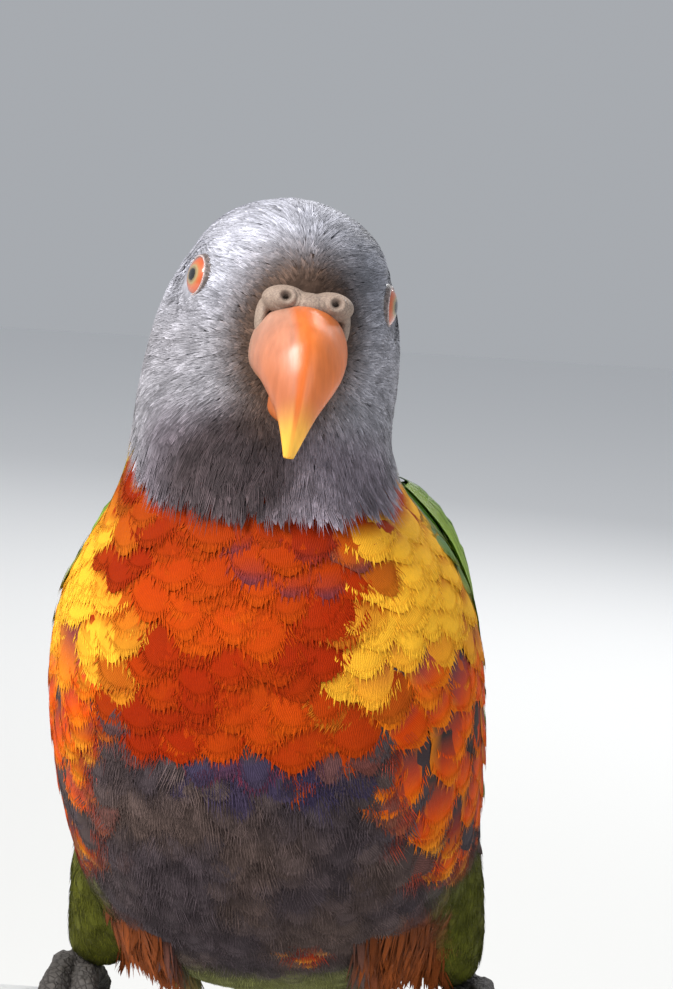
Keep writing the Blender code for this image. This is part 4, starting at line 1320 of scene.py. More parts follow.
def featherRow(side, row, spot, tintAt, bakeBox, draw):
    # feathers side by side, each a layer over the next one out
    found = []
    tips = row["tips"]
    across = np.linspace(-1, 1, row["cells"] + 1)
    left, low, wide, high = bakeBox
    cell = wide / len(tips)
    for index, tip in enumerate(tips):
        rounding = row["rounding"] / (tailStep if tip < 0 else bodyStep)
        u, width, s = vaneSteps(row["root"], tip, rounding, row["rows"])
        s = np.clip(s, 0, 1)
        width = width * blend(0.8, 1.0, softStep(0, 0.25, s))
        tilt = blend(0.6, 1.0, softStep(0, 0.3, s))
        ended = endedBefore(tips, u)
        share = across[None, :] * row["overlap"] * width[:, None]
        place = (index - ended[:, None] + 0.5 + share) / (len(tips) - ended)[:, None]
        angle = side * spot(u[:, None] * np.ones_like(share), place)
        ripple = np.sin(s * 37 + draw.uniform(0, 6)) * 0.03 * mm
        lift = blend(row["rootLift"], row["lift"], softStep(0, 0.25, s))[:, None]
        lift = lift + row["layer"] * share * tilt[:, None]
        lift = lift + (row["ridge"] * np.exp(-((across / 0.08) ** 2)))[None, :]
        lift = lift - row["cup"] * across[None, :] ** 2 + ripple[:, None]
        lift = lift - row["droop"] * softStep(0.8, 1.0, s)[:, None]
        lift = lift * (1 - row["edgeFall"] * softStep(0.60, 1.02, place))
        sGrid, wGrid = s[:, None] * np.ones_like(share), across[None, :] * np.ones_like(share)
        tint = tintAt(index / max(1, len(tips) - 1), sGrid, -wGrid) * draw.uniform(0.82, 1.12)
        bakeAt = (left + cell * (index + 0.5 + wGrid * 0.45), low + high * (1 - sGrid))
        found.append(vanePart(side, u, angle, lift, row["thick"], sGrid, wGrid, tint, draw, bakeAt))
    return found


# What makes a row of feathers: slices for its roots and tips, and lifts and thicknesses in mm
rowKeys = (
    "root", "overlap", "rootLift", "lift", "layer", "thick", "rows", "cells", "rounding", "ridge", "cup", "droop",
    "edgeFall",
)


def rowValues(tips, *values):
    row = dict(zip(rowKeys, values), tips=tips)
    for key in ("rootLift", "lift", "layer", "thick", "ridge", "cup", "droop"):
        row[key] = row[key] * mm
    return row


wingValues = {
    "leading": coat["wingFront"][::-1],
    "back": ((8.75, 50), (8.0, 30), (6.5, 17), (4, 11), (2, 10), (0, 12), (-1.5, 20)),
    "top": 8.72,
    "armEnd": 4.6,
    "armRows": 40,
    "armColumns": 24,
    "rows": (
        rowValues((2.4, 2.15, 1.9, 1.65, 1.4, 1.15, 0.85, 0.5, 0.15, -0.15, -0.4, -0.62, -0.84, -1.06, -1.27, -1.45),
                  6.2, 0.95, 1.0, 1.85, 0.42, 0.13, 22, 8, 5.5, 0.12, 0.10, 0.1, 0.74),
        rowValues((4.0, 3.95, 3.9, 3.85, 3.8, 3.75, 3.7, 3.7, 3.75, 3.8),
                  6.9, 0.8, 1.5, 3.05, 0.4, 0.12, 12, 8, 6.0, 0.10, 0.15, 0.3, 0.80),
        rowValues((5.2, 5.15, 5.1, 5.05, 5.0, 5.0, 5.0, 5.05, 5.1, 5.15, 5.2),
                  7.6, 0.8, 1.8, 3.5, 0.35, 0.12, 9, 6, 5.0, 0.08, 0.18, 0.35, 0.80),
        rowValues((6.1, 6.06, 6.02, 6.0, 5.98, 5.97, 5.97, 5.98, 6.0, 6.02, 6.06, 6.1),
                  8.05, 0.8, 1.9, 3.65, 0.3, 0.12, 8, 6, 4.5, 0.06, 0.18, 0.35, 0.80),
        rowValues((6.85,) * 13, 8.4, 0.8, 1.9, 3.45, 0.3, 0.12, 7, 6, 4.0, 0.05, 0.2, 0.35, 0.80),
        rowValues((7.5,) * 13, 8.62, 0.8, 1.8, 3.05, 0.25, 0.12, 6, 6, 3.5, 0.05, 0.2, 0.35, 0.80),
        rowValues((8.05,) * 12, 8.75, 0.8, 1.5, 2.6, 0.2, 0.12, 5, 6, 3.0, 0.05, 0.2, 0.3, 0.80),
    ),
}
wingTones = {key: np.array(tone) for key, tone in {
    "flightGreen": (0.035, 0.105, 0.010),
    "flightDark": (0.022, 0.028, 0.024),
    "covertGreen": (0.040, 0.125, 0.005),
    "edgeGreen": (0.10, 0.25, 0.010),
    # painted light: the wings' leading edges lighter and yellower, as where light shines through them
    "backlitEdgeYellow": (0.30, 0.44, 0.02),
}.items()}


def wingSpot(u, share):
    return blend(edgeAt(wingValues["back"], u), edgeAt(wingValues["leading"], u), share)


def flightTint(order, s, w):
    v = wingTones
    tint = blend(v["flightDark"], v["flightGreen"], softStep(-0.15, 0.25, -w)[..., None])
    tint = blend(tint, v["edgeGreen"], softStep(0.55, 0.95, -w)[..., None] * 0.8)
    return blend(tint, v["flightDark"], softStep(0.82, 1.0, s)[..., None] * 0.6 * order)


def covertTint(order, s, w):
    v = wingTones
    tint = blend(v["flightGreen"], v["covertGreen"], softStep(0.35, 0.95, s)[..., None])
    rim = softStep(0.70, 0.98, np.maximum(np.abs(w), s))[..., None]
    tint = blend(tint, v["edgeGreen"], rim * 0.75)
    # painted backlight along the wing's leading edge
    return blend(tint, v["backlitEdgeYellow"], softStep(0.52, 0.90, order) * 0.8)


def wingArm(side):
    # the plate that the feathers are rooted in
    rows, columns = wingValues["armRows"], wingValues["armColumns"]
    u = np.linspace(wingValues["top"], wingValues["armEnd"], rows)[:, None] * np.ones((1, columns))
    share = np.linspace(0, 1, columns)[None, :] * np.ones((rows, 1))
    t = np.linspace(0, 1, rows)[:, None] * np.ones_like(u)
    edge = np.maximum(np.abs(2 * share - 1) ** 6, (2 * np.abs(t - 0.5)) ** 6)
    angle = side * wingSpot(u, share)
    lift = blend(2.2 * mm, 0.9 * mm, edge) * (1 - 0.92 * softStep(0.48, 0.94, share)) - 0.12 * mm
    upper, lower = (bodyPoint(u, angle, high) for high in (lift, lift - blend(1.4 * mm, 0.3 * mm, edge)))
    tint = np.broadcast_to(wingTones["edgeGreen"], upper.shape)
    vane = np.stack([t, share * 2 - 1, np.zeros_like(u)], axis=-1)
    return sheetPart(upper, lower, tint, vane, np.stack([0.02 + 0.3 * share, 0.02 + 0.3 * t], axis=-1), side)


def buildWing(side, word):
    def inside(u, share):
        return wingSpot(u, blend(0.06, 0.94, share))

    draw = np.random.default_rng(71 + side)
    parts = [wingArm(side)]
    for n, row in enumerate(wingValues["rows"]):
        bakeBox = (0.35, 0.02, 0.63, 0.42) if n == 0 else (0.02, 0.46 + 0.09 * (n - 1), 0.96, 0.08)
        parts += featherRow(side, row, inside, flightTint if n == 0 else covertTint, bakeBox, draw)
    wing = meshFrom("wing_feathers_" + word, parts, featherMaterials["flight"])
    dress(wing, "green", "wing_" + word)


tailValues = {
    "edge": ((-0.3, 10.5), (-1.0, 13.5), (-2.0, 14.6), (-2.8, 12.0), (-3.4, 8.0), (-3.85, 5.0)),
    "middle": 0.2,
    "root": -0.35,
    "overlap": 1.25,
    "lift": -1.35 * mm,
    "layer": 0.80 * mm,
    "thick": 0.22 * mm,
    "pairs": 6,
    "grade": 10.5,
    "rounding": 7.0,
    "rows": 26,
    "coverEnd": -1.05,
    "coverTaper": 2.3 * mm,
    "baseRings": 24,
    "baseSides": 48,
    # root, tip, count and lift
    "coverRows": ((0.42, -0.35, 22, 0.9), (0.15, -0.75, 20, 0.8), (-0.1, -1.2, 18, 0.5), (-0.45, -1.65, 14, 0.0)),
}
tailTones = {key: np.array(tone) for key, tone in {
    "above": (0.030, 0.115, 0.010),
    "tip": (0.10, 0.17, 0.02),
    "below": (0.22, 0.22, 0.035),
    "coverts": (0.07, 0.22, 0.012),
    "undertail": (0.38, 0.40, 0.05),
}.items()}


def tailSpot(u, share):
    u = np.minimum(u, tailValues["edge"][0][0])
    wide = blend(tailValues["middle"], edgeAt(tailValues["edge"], u), share)
    full = throughPoints(slices, u + 4)[..., 4]
    return np.degrees(np.arcsin(np.clip(wide / full, -1, 1)))


def tailTint(s, w):
    tint = blend(tailTones["above"], tailTones["tip"], softStep(0.75, 1.0, s)[..., None])
    return blend(tint, tailTones["below"], softStep(0.2, 0.8, w)[..., None] * 0.55)


def coverTone(around):
    # yellower under the tail; around is 0 to 360 from the middle of the back
    below = softStep(80, 110, np.abs((around + 180) % 360 - 180))[..., None]
    return blend(tailTones["coverts"], tailTones["undertail"], below)


def coverTint(order, s, w):
    rim = softStep(0.6, 1.0, np.maximum(np.abs(w), s))[..., None]
    tone = coverTone(np.array(order * 360))
    return tone * blend(0.6, 1.0, softStep(0.2, 0.8, s)[..., None]) * (1 + 0.7 * rim)


def tailFeather(side, index, tips, draw):
    v = tailValues
    u, width, s = vaneSteps(v["root"], tips[index], v["rounding"] / tailStep, v["rows"])
    width = width * blend(0.8, 1.0, softStep(0, 0.2, s))
    tilt = blend(0.6, 1.0, softStep(0, 0.25, s))[:, None]
    present = v["pairs"] - endedBefore(tips[::-1], u)[:, None]
    across = np.linspace(-1, 1, 9)[None, :]
    share = np.maximum(0.0, (index + 0.5 + across * v["overlap"] * width[:, None]) / present)
    rise = v["layer"] * tilt * (share * present - index - 0.5)
    lift = v["lift"] + rise + 0.14 * mm * np.exp(-((across / 0.1) ** 2))
    angle = side * tailSpot(u[:, None] + np.zeros_like(share), share)
    sGrid, wGrid = s[:, None] + np.zeros_like(share), across + np.zeros_like(share)
    tint = tailTint(sGrid, wGrid) * draw.uniform(0.9, 1.1)
    column = index + (0 if side > 0 else v["pairs"])
    bakeAt = (0.02 + 0.08 * (column + 0.5 + wGrid * 0.45), 0.02 + 0.45 * (1 - sGrid))
    return vanePart(side, u, angle, lift, v["thick"], sGrid, wGrid, tint, draw, bakeAt)


def buildTailBase():
    # the block that the coverts are rooted in
    v = tailValues
    count, sides = v["baseRings"], v["baseSides"]
    around = np.linspace(0, 360, sides, endpoint=False)
    rings = [
        bodyPoint(blend(-0.01, v["coverEnd"], t), around, -v["coverTaper"] * t * t - 0.5 * mm)
        for t in np.linspace(0, 1, count)
    ]
    bm = bmesh.new()
    loftRings(bm, rings)
    block = pieceFrom(bm, "tail_base", featherMaterials["flight"])
    paint(block.data, np.tile(coverTone(around) * 0.6, (count, 1)))
    addVane(block.data)
    spots = [np.tile(around / 1200, count) + 0.02, np.repeat(np.linspace(0.5, 0.7, count), sides)]
    addBakeMap(block.data, np.column_stack(spots))
    dress(block, "tail")


def buildTail():
    v = tailValues
    draw = np.random.default_rng(81)
    longest = tailLayout["length"] / tailStep
    tips = [-longest + i * v["grade"] / tailStep for i in range(v["pairs"])]
    parts = [tailFeather(side, index, tips, draw) for side in (-1, 1) for index in range(v["pairs"])]
    # coverts over it, above and below
    for n, (start, end, count, lift) in enumerate(v["coverRows"]):
        tips, droop = (end,) * count, 0.6 + n * 0.6
        row = rowValues(tips, start, 0.85, -0.5, lift * 0.5, 0.2, 0.12, 9, 6, 6.0, 0.05, 0.1, droop, 0.0)
        bakeBox = (0.02, 0.74 + n * 0.06, 0.96, 0.05)
        parts += featherRow(1, row, lambda u, share: share * 360 + n * 7, coverTint, bakeBox, draw)
    tail = meshFrom("tail_feathers", parts, featherMaterials["flight"])
    dress(tail, "tail", "tail")


buildWing(1, "left")
buildWing(-1, "right")
buildTailBase()
buildTail()
print("wings and tail done")


# Bill and cere

billValues = {
    "upperRidge": ((35, 104.0), (42.5, 103.4), (48.5, 98.9), (49.9, 91.6), (47.2, 85.0)),
    "upperEdge": ((32.5, 94.0), (37.6, 93.5), (42.9, 92.2), (45.9, 89.2), (46.7, 85.2)),
    "upperWidths": (5.7, 5.9, 4.75, 2.35, 0.62),
    "lowerEdge": ((32.5, 94.0), (37.2, 94.0), (41.8, 93.0), (45.0, 90.4)),
    "lowerKeel": ((32.5, 90.0), (37.6, 89.4), (42.2, 88.7), (45.0, 88.9)),
    "lowerWidths": (3.9, 2.5, 1.6, 0.7),
    "aside": 0.6,
    "pinch": 0.33,
    # pale and deep also carry painted light and shade on the bill's lit and shaded sides
    "pale": (0.395, 0.225, 0.165),
    "orange": (0.41, 0.120, 0.045),
    "deep": (0.64, 0.150, 0.020),
    "ridge": (0.56, 0.110, 0.005),
    "tip": (0.88, 0.46, 0.040),
    "rings": 56,
    "sides": 64,
}


def billMaterial():
    material, tree, shader = newMaterial(
        "billHorn", depth=0.06, depthRadius=(1.0, 0.45, 0.2), depthScale=0.0012, coat=0.12, coatRoughness=0.30,
    )
    place = stretched(tree, objectPlace(tree), (1.0, 0.5, 0.16))  # the horn's grain runs down the bill
    grain, fine = grainAt(tree, place, 1150.0, 6.0), grainAt(tree, place, 2600.0, 3.0)
    colour = scaledTint(tree, spread(tree, grain, 0.66, 0.67))
    joinSurface(tree, shader, colour, spread(tree, grain, 0.24, 0.30), plus(tree, fine, grain), 0.22, 0.0001)
    return material


def alongLine(line, t):
    return throughPoints(np.array(line, float).reshape(len(line), -1), t * (len(line) - 1))


def billHalf(name, node, ridge, edge, widths, belly, crest, tintAt, finish):
    v = billValues
    turn = np.linspace(0, 2 * np.pi, v["sides"], endpoint=False)
    c, s = np.cos(turn), np.sin(turn)
    rings, tones = [], []
    for t in np.linspace(0, 1, v["rings"]):
        top, low, width = alongLine(v[ridge], t), alongLine(v[edge], t), float(alongLine(v[widths], t)[0])
        centre = blend(top, low, belly)
        flat = centre + (np.where(c > 0, c, 0)[:, None] * (top - centre)
                         + (np.where(c < 0, -c, 0) ** 0.7)[:, None] * (low - centre))
        pinch = 1 - v["pinch"] * softStep(0.12, 0.5, t) * np.clip(c, 0, 1) ** 1.3
        aside = width * np.sign(s) * np.abs(s) ** 0.92 * pinch + v["aside"] * (1 - t)
        rise = crest * np.exp(-((turn - np.pi * 2 * (turn > np.pi)) / 0.16) ** 2) * softStep(0.05, 0.3, t) * (1 - t)
        growth = 0.035 * np.sin(t * 60 + 1.5 * c) * (1 - 0.6 * t)
        out = flat - centre
        flat = flat + (rise + growth)[:, None] * out / (np.linalg.norm(out, axis=1)[:, None] + 0.3)
        rings.append(headPoint(aside, flat[:, 0], flat[:, 1]))
        tones.append(tintAt(np.full(len(turn), t), s, c))
    bm = bmesh.new()
    loftRings(bm, rings)
    piece = pieceFrom(bm, name, finish)
    paint(piece.data, np.concatenate(tones))
    dress(piece, "bill", node)


def toned(tint, key, share):
    return blend(tint, np.array(billValues[key]), share[:, None])


def upperTint(t, s, c):
    # t runs down the bill, s is its left side and c its ridge
    # pale near the cere, partly a painted highlight; deep orange on the bill's left, away from the key lamp, and pale
    # on its right, the lit side: painted shade and light over the bill's own orange
    tint = toned(np.full((len(t), 3), billValues["pale"]), "orange", softStep(0.10, 0.42, t))
    tint = toned(tint, "deep", softStep(-0.06, 0.10, s) * softStep(0.10, 0.3, t) * 0.85)
    tint = toned(tint, "pale", softStep(0.0, -0.5, s) * softStep(0.75, 0.2, t) * 0.5)
    tint = toned(tint, "tip", softStep(0.70, 0.95, t) * 0.9)
    ridge = softStep(0.30, 0.12, np.abs(s + 0.16)) * softStep(0.0, 0.3, c) * softStep(0.15, 0.35, t)
    tint = toned(tint, "ridge", ridge * 0.85)
    tint = toned(tint, "tip", softStep(0.78, 0.97, t) * 0.9)
    return toned(tint, "tip", softStep(-0.35, -0.75, c) * softStep(0.25, 0.5, t) * 0.9)


def lowerTint(t, s, c):
    tint = toned(np.full((len(t), 3), billValues["orange"]), "deep", softStep(0.0, -0.8, c) * 0.7)
    return toned(tint, "tip", softStep(0.5, 0.9, c) * 0.7)


def buildBill():
    finish = billMaterial()
    billHalf("upper_bill", "bill_upper", "upperRidge", "upperEdge", "upperWidths", 0.55, 0.16, upperTint, finish)
    billHalf("lower_bill", "bill_lower", "lowerEdge", "lowerKeel", "lowerWidths", 0.4, 0.0, lowerTint, finish)


cereValues = {
    # place on the head, and half its size across, forward and up
    "lobes": (
        (-2.2, 40.0, 104.0, 2.9, 2.75, 1.8), (3.5, 40.0, 104.0, 2.8, 2.75, 1.8), (0.7, 40.2, 103.6, 3.1, 2.85, 1.7),
        (-4.6, 38.3, 101.8, 0.8, 1.8, 2.4), (5.6, 38.3, 101.8, 0.8, 1.8, 2.4),
    ),
    "middle": 0.65,
    "nostril": (3.1, 42.75, 104.3),
    "fold": 0.07 * mm,
    "voxel": 0.15 * mm,
    "rim": 0.20 * mm,
    "pit": 1.1 * mm,
    "reach": 2.2,  # mm round a nostril that it shapes
}


# Bare skins: scales and grain to the metre, width of a groove, and the tones: two mixed by the grain, one for odd
# scales and one for the creases, painted darker there as shade in the grooves
bareSkins = {
    "cereSkin": {
        "scales": 2600.0, "grain": 900.0, "groove": 0.10, "low": (0.20, 0.145, 0.112), "high": (0.36, 0.28, 0.22),
        "odd": (0.32, 0.235, 0.19), "crease": (0.20, 0.145, 0.12), "bump": 0.25, "roughness": 0.48, "gloss": 0.25,
    },
    "eyelid": {
        "scales": 3400.0, "grain": 1200.0, "groove": 0.12, "low": (0.75, 0.72, 0.72), "high": (1.0, 1.0, 1.0),
        "odd": (0.5, 0.4, 0.38), "crease": (0.10, 0.08, 0.08), "bump": 0.3, "roughness": 0.45, "gloss": 0.35,
    },
    "footSkin": {
        "scales": 950.0, "grain": 1100.0, "groove": 0.14, "low": (0.036, 0.033, 0.031), "high": (0.080, 0.073, 0.067),
        "odd": (0.09, 0.080, 0.074), "crease": (0.035, 0.031, 0.029), "bump": 0.5, "roughness": 0.55, "gloss": 0.25,
    },
}


def skinMaterial(name, painted=True):
    # bare grainy skin: cells of scales over a soft grain
    v = bareSkins[name]
    material, tree, shader = newMaterial(name, gloss=v["gloss"])
    place = objectPlace(tree)
    cells = newNode(tree, "ShaderNodeTexVoronoi", in_Scale=v["scales"], feature="DISTANCE_TO_EDGE")
    shade = newNode(tree, "ShaderNodeTexVoronoi", in_Scale=v["scales"])
    for node in (cells, shade):
        tree.links.new(place, node.inputs["Vector"])
    grain = grainAt(tree, place, v["grain"], 5.0)
    groove = rampNode(tree, cells.outputs["Distance"], [(0.0, 0.0), (v["groove"], 1.0)])
    tone = mixColours(tree, "MIX", grain, v["low"], v["high"])
    if painted:
        tint = newNode(tree, "ShaderNodeAttribute", attribute_name="tint")
        tone = mixColours(tree, "MULTIPLY", 1.0, tone, tint.outputs["Color"])
    split = newNode(tree, "ShaderNodeSeparateColor")
    tree.links.new(shade.outputs["Color"], split.inputs[0])
    tone = mixColours(tree, "MIX", times(tree, split.outputs[0], 0.35), tone, v["odd"])
    height = plus(tree, groove, times(tree, grain, 0.6))
    # the grooves take the crease tone: painted shade
    colour = mixColours(tree, "MIX", groove, v["crease"], tone)
    joinSurface(tree, shader, colour, spread(tree, grain, 0.25, v["roughness"]), height, v["bump"], 0.00025)
    return material


def buildCere():
    v = cereValues
    bm = bmesh.new()
    for x, forward, up, across, deep, high in v["lobes"]:
        made = bmesh.ops.create_icosphere(bm, subdivisions=4, radius=1.0)
        for vert in made["verts"]:
            p = vert.co
            vert.co = Vector(headPoint(x + p.x * across, forward - p.y * deep, up + p.z * high))
    cere = pieceFrom(bm, "cere_skin", skinMaterial("cereSkin"))
    fuse(cere, v["voxel"])
    bm = workOn(cere, 14)
    x, forward, up = v["nostril"]
    tone = np.ones((len(bm.verts), 3))
    for side in (-1, 1):
        centre = Vector(headPoint(v["middle"] + side * x, forward, up))
        for vert in bm.verts:
            away = (vert.co - centre).length / mm
            # painted shade: dark inside each nostril's pit
            tone[vert.index] *= blend(0.05, 1.0, float(softStep(0.42, 0.85, away)))
            if away < v["reach"]:
                rim = v["rim"] * math.exp(-(((away - 1.0) / 0.32) ** 2))
                pit = v["pit"] * (1 - float(softStep(0.30, 0.72, away)))
                fold = v["fold"] * math.sin(away * 8.5 + 2.0 * vert.co.x / mm) * float(softStep(1.2, 1.7, away))
                vert.co += vert.normal * (rim - pit + fold)
    soften(bm, factor=0.4)
    finishWork(bm, cere)
    paint(cere.data, tone)
    dress(cere, "cere", "cere")


# Eyes

eyeValues = {
    "centre": (29.4, 106.1),
    "out": 10.1,
    "ahead": 19.0,
    "radius": 3.5 * mm,
    "flatten": 0.78,
    "opening": 2.35 * mm,
    "pupil": 0.78 * mm,
    "pupilAhead": 0.42 * mm,
    "bulge": 0.16 * mm,
    "irisReach": 3.0 * mm,
    "iris": (  # shares of the pupil's radius, and the tone there
        (0.92, (0.003, 0.003, 0.004)), (1.08, (0.16, 0.12, 0.06)), (1.45, (0.30, 0.22, 0.10)),
        (1.85, (0.42, 0.13, 0.040)), (2.3, (0.46, 0.085, 0.020)),
    ),
    # the outer iris, then a dark ring painted as the shade line where the eyeball meets the lid
    "irisRimAndLidShade": ((0.76, (0.40, 0.07, 0.02)), (0.86, (0.02, 0.012, 0.012))),  # shares of the iris's reach
    "lidProfile": (  # out from the opening and up from its plane, in mm
        (-0.02, -0.5), (0.0, 0.02), (0.09, 0.14), (0.20, 0.10), (0.34, -0.08), (0.56, -0.50), (0.9, -1.10), (1.1, -1.8),
        (0.4, -1.4),
    ),
    "lidPale": (0.62, 0.50, 0.48),
    "lidDark": (0.060, 0.048, 0.045),
}


def eyeAxis(side):
    turn = math.radians(eyeValues["ahead"])
    a = np.array([side * math.cos(turn), -math.sin(turn), 0.06])
    a /= np.linalg.norm(a)
    out, (forward, up) = side * eyeValues["out"], eyeValues["centre"]
    centre = headPoint(out, forward, up)
    ahead = headPoint(out + a[0], forward - a[1], up + a[2]) - centre
    axis = Vector(ahead).normalized()
    plane = math.sqrt(eyeValues["radius"] ** 2 - eyeValues["opening"] ** 2)
    return Vector(centre) + axis * plane * (1 - eyeValues["flatten"]), axis


def eyeMaterial(word, centre, axis):
    v = eyeValues
    material, tree, shader = newMaterial("eye" + word.capitalize(), coat=1.0, coatRoughness=0.02, roughness=0.25)
    place = objectPlace(tree)
    ahead = Vector(headPoint(0, 1, 0) - headPoint(0, 0, 0)) / mm
    front = centre + axis * v["radius"] * v["flatten"] + ahead * v["pupilAhead"]
    away = newNode(tree, "ShaderNodeVectorMath", operation="DISTANCE")
    away.inputs[1].default_value = front
    tree.links.new(place, away.inputs[0])
    grain = grainAt(tree, place, 1500.0, 5.0)
    wobble = times(tree, mathNode(tree, "SUBTRACT", grain, 0.5), 0.10)
    reach = plus(tree, mathNode(tree, "DIVIDE", away.outputs["Value"], v["irisReach"]), wobble)
    pupil = v["pupil"] / v["irisReach"]
    iris = rampNode(tree, reach, [(pupil * share, tone) for share, tone in v["iris"]] + list(v["irisRimAndLidShade"]))
    joinSurface(tree, shader, iris, None, grain, 0.08, 0.0001)
    return material


def buildEyeball(word, centre, turn, finish):
    v = eyeValues
    bm = bmesh.new()
    bmesh.ops.create_uvsphere(bm, u_segments=64, v_segments=40, radius=v["radius"])
    for vert in bm.verts:  # the clear front stands a little proud
        vert.co.z += v["bulge"] * float(softStep(0.55, 1.0, vert.co.normalized().z))
        vert.co.z *= v["flatten"]
    bmesh.ops.transform(bm, matrix=Matrix.Translation(centre) @ turn, verts=bm.verts)
    dress(pieceFrom(bm, "eyeball_" + word, finish), "eye", "eye_" + word)


def buildEyelid(word, centre, turn, finish):
    v = eyeValues
    reach = math.sqrt(v["radius"] ** 2 - v["opening"] ** 2) * v["flatten"]
    bm = bmesh.new()
    corners = [bm.verts.new((v["opening"] + out * mm, 0, reach + up * mm)) for out, up in v["lidProfile"]]
    for a, b in zip(corners, corners[1:] + corners[:1]):
        bm.edges.new((a, b))
    bmesh.ops.spin(bm, geom=[*bm.verts, *bm.edges], angle=2 * math.pi, steps=72, use_merge=True,
                   axis=(0, 0, 1), cent=(0, 0, 0))
    bmesh.ops.remove_doubles(bm, verts=bm.verts, dist=0.005 * mm)
    bmesh.ops.recalc_face_normals(bm, faces=bm.faces)
    tones = []
    for vert in bm.verts:  # small beads and folds round the rim
        around = math.atan2(vert.co.y, vert.co.x)
        far = (Vector((vert.co.x, vert.co.y, 0)).length - v["opening"]) / mm
        fold = math.sin(around * 3 + far * 9) * 0.04 * float(softStep(0.3, 1.2, far))
        vert.co.z += (math.sin(around * 34) * 0.018 + fold) * mm
        tones.append(blend(np.array(v["lidPale"]), np.array(v["lidDark"]), softStep(0.17, 0.32, far)))
    bmesh.ops.transform(bm, matrix=Matrix.Translation(centre) @ turn, verts=bm.verts)
    rim = pieceFrom(bm, "eyelid_" + word, finish)
    paint(rim.data, np.array(tones))
    smooth = rim.modifiers.new("round", "SUBSURF")
    smooth.levels = smooth.render_levels = 2
    dress(rim, "cere")


def buildEyes():
    lid = skinMaterial("eyelid")
    for side, word in ((1, "left"), (-1, "right")):
        centre, axis = eyeAxis(side)
        turn = axis.to_track_quat("Z", "Y").to_matrix().to_4x4()
        buildEyeball(word, centre, turn, eyeMaterial(word, centre, axis))
        buildEyelid(word, centre, turn, lid)


buildBill()
buildCere()
buildEyes()
print("bill, cere and eyes done")


# Feet and claws

footValues = {
    "voxel": 0.28 * mm,
    "scaleSize": 1.05 * mm,
    "scaleRise": 0.16 * mm,
}
toeLayout = (
    # number, way round the rail (1 ahead), length, radius and x at the tip of each toe
    (1, -1, 12, 1.9, -3.0),
    (2, 1, 16, 2.25, -3.2),
    (3, 1, 23, 2.55, 4.2),
    (4, -1, 19, 2.1, 4.6),
)
clawValues = {
    "railRadius": 9.0,
    "gap": 0.32,
    "flesh": 1.12,
    "back": 0.12,
    "taper": 0.74,
    "length": 6.5,
    "hook": 1.1,
    "footX": 29.3,
    "rings": 15,
    "sides": 16,
}


def buildFeet():
    finish = skinMaterial("footSkin", painted=False)
    for word in ("left", "right"):
        foot = pieceFrom(copyOfNodes(("foot_" + word,)), "foot_skin_" + word, finish)
        fuse(foot, footValues["voxel"])
        bm = workOn(foot, 5)
        for vert in bm.verts:
            near = noise.voronoi(vert.co / footValues["scaleSize"])[0]
            vert.co += vert.normal * footValues["scaleRise"] * (min(1.0, (near[1] - near[0]) * 2.6) - 0.75)
        finishWork(bm, foot)
        dress(foot, "foot", "foot_" + word)


def roundRail(x, turn, reach):
    forward = math.sin(turn) * reach
    up = math.cos(turn) * reach - clawValues["railRadius"]
    return Vector(((x + pose["feetAside"]) * mm, -forward * mm, up * mm + pose["railTop"]))


def simpleFinish(name, scale, tones, rough, detail=5.0, **inputs):
    # two tones mixed by one grain
    material, tree, shader = newMaterial(name, **inputs)
    grain = grainAt(tree, objectPlace(tree), scale, detail)
    tree.links.new(mixColours(tree, "MIX", grain, *tones), shader.inputs["Base Color"])
    tree.links.new(spread(tree, grain, *rough), shader.inputs["Roughness"])
    return material, tree, shader, grain


def buildClaw(side, word, number, way, length, radius, tipX, finish):
    v = clawValues
    reach = v["railRadius"] + v["gap"] + radius * v["flesh"]
    start = length / reach - v["back"]
    ways = np.linspace(0, 1, v["rings"])
    path = [
        roundRail(side * (v["footX"] + tipX), way * (start + (v["gap"] * 1.3 + t * v["length"]) / reach),
                  reach + v["hook"] * math.sin(math.pi * t))
        for t in ways
    ]
    rings = []
    aside = Vector((1, 0, 0))
    for i, (point, t) in enumerate(zip(path, ways)):
        ahead = (path[min(i + 1, len(path) - 1)] - path[max(i - 1, 0)]).normalized()
        up = ahead.cross(aside).normalized()
        wide = radius * v["taper"] * float(blend(0.92, 0.2, t ** 1.2)) * (0.9 if i == 0 else 1.0) * mm
        turns = [k * 2 * math.pi / v["sides"] for k in range(v["sides"])]
        rings.append([point + aside * math.cos(turn) * wide * 0.86 + up * math.sin(turn) * wide for turn in turns])
    bm = bmesh.new()
    loftRings(bm, rings)
    dress(pieceFrom(bm, f"claw_horn_{word}_{number}", finish), "claw", f"claw_{word}_{number}")


def buildClaws():
    tones = ((0.012, 0.012, 0.013), (0.06, 0.055, 0.05))
    finish, tree, shader, grain = simpleFinish("clawHorn", 700.0, tones, (0.3, 0.2))
    bump = newNode(tree, "ShaderNodeBump", in_Strength=0.2, in_Distance=0.0001)
    tree.links.new(grain, bump.inputs["Height"])
    tree.links.new(bump.outputs[0], shader.inputs["Normal"])
    for side, word in ((1, "left"), (-1, "right")):
        for number, way, length, radius, tipX in toeLayout:
            buildClaw(side, word, number, way, length, radius, tipX, finish)


buildFeet()
buildClaws()
print("feet done")


# Rail and stand

railValues = {"radius": 9 * mm, "length": 124 * mm, "bevel": 0.7 * mm}
standValues = {
    "radius": 55 * mm, "thick": 7 * mm, "bevel": 1.4 * mm, "rod": 3 * mm, "rodBevel": 0.15 * mm, "inset": 16 * mm,
    "gap": 0.32 * mm,
}


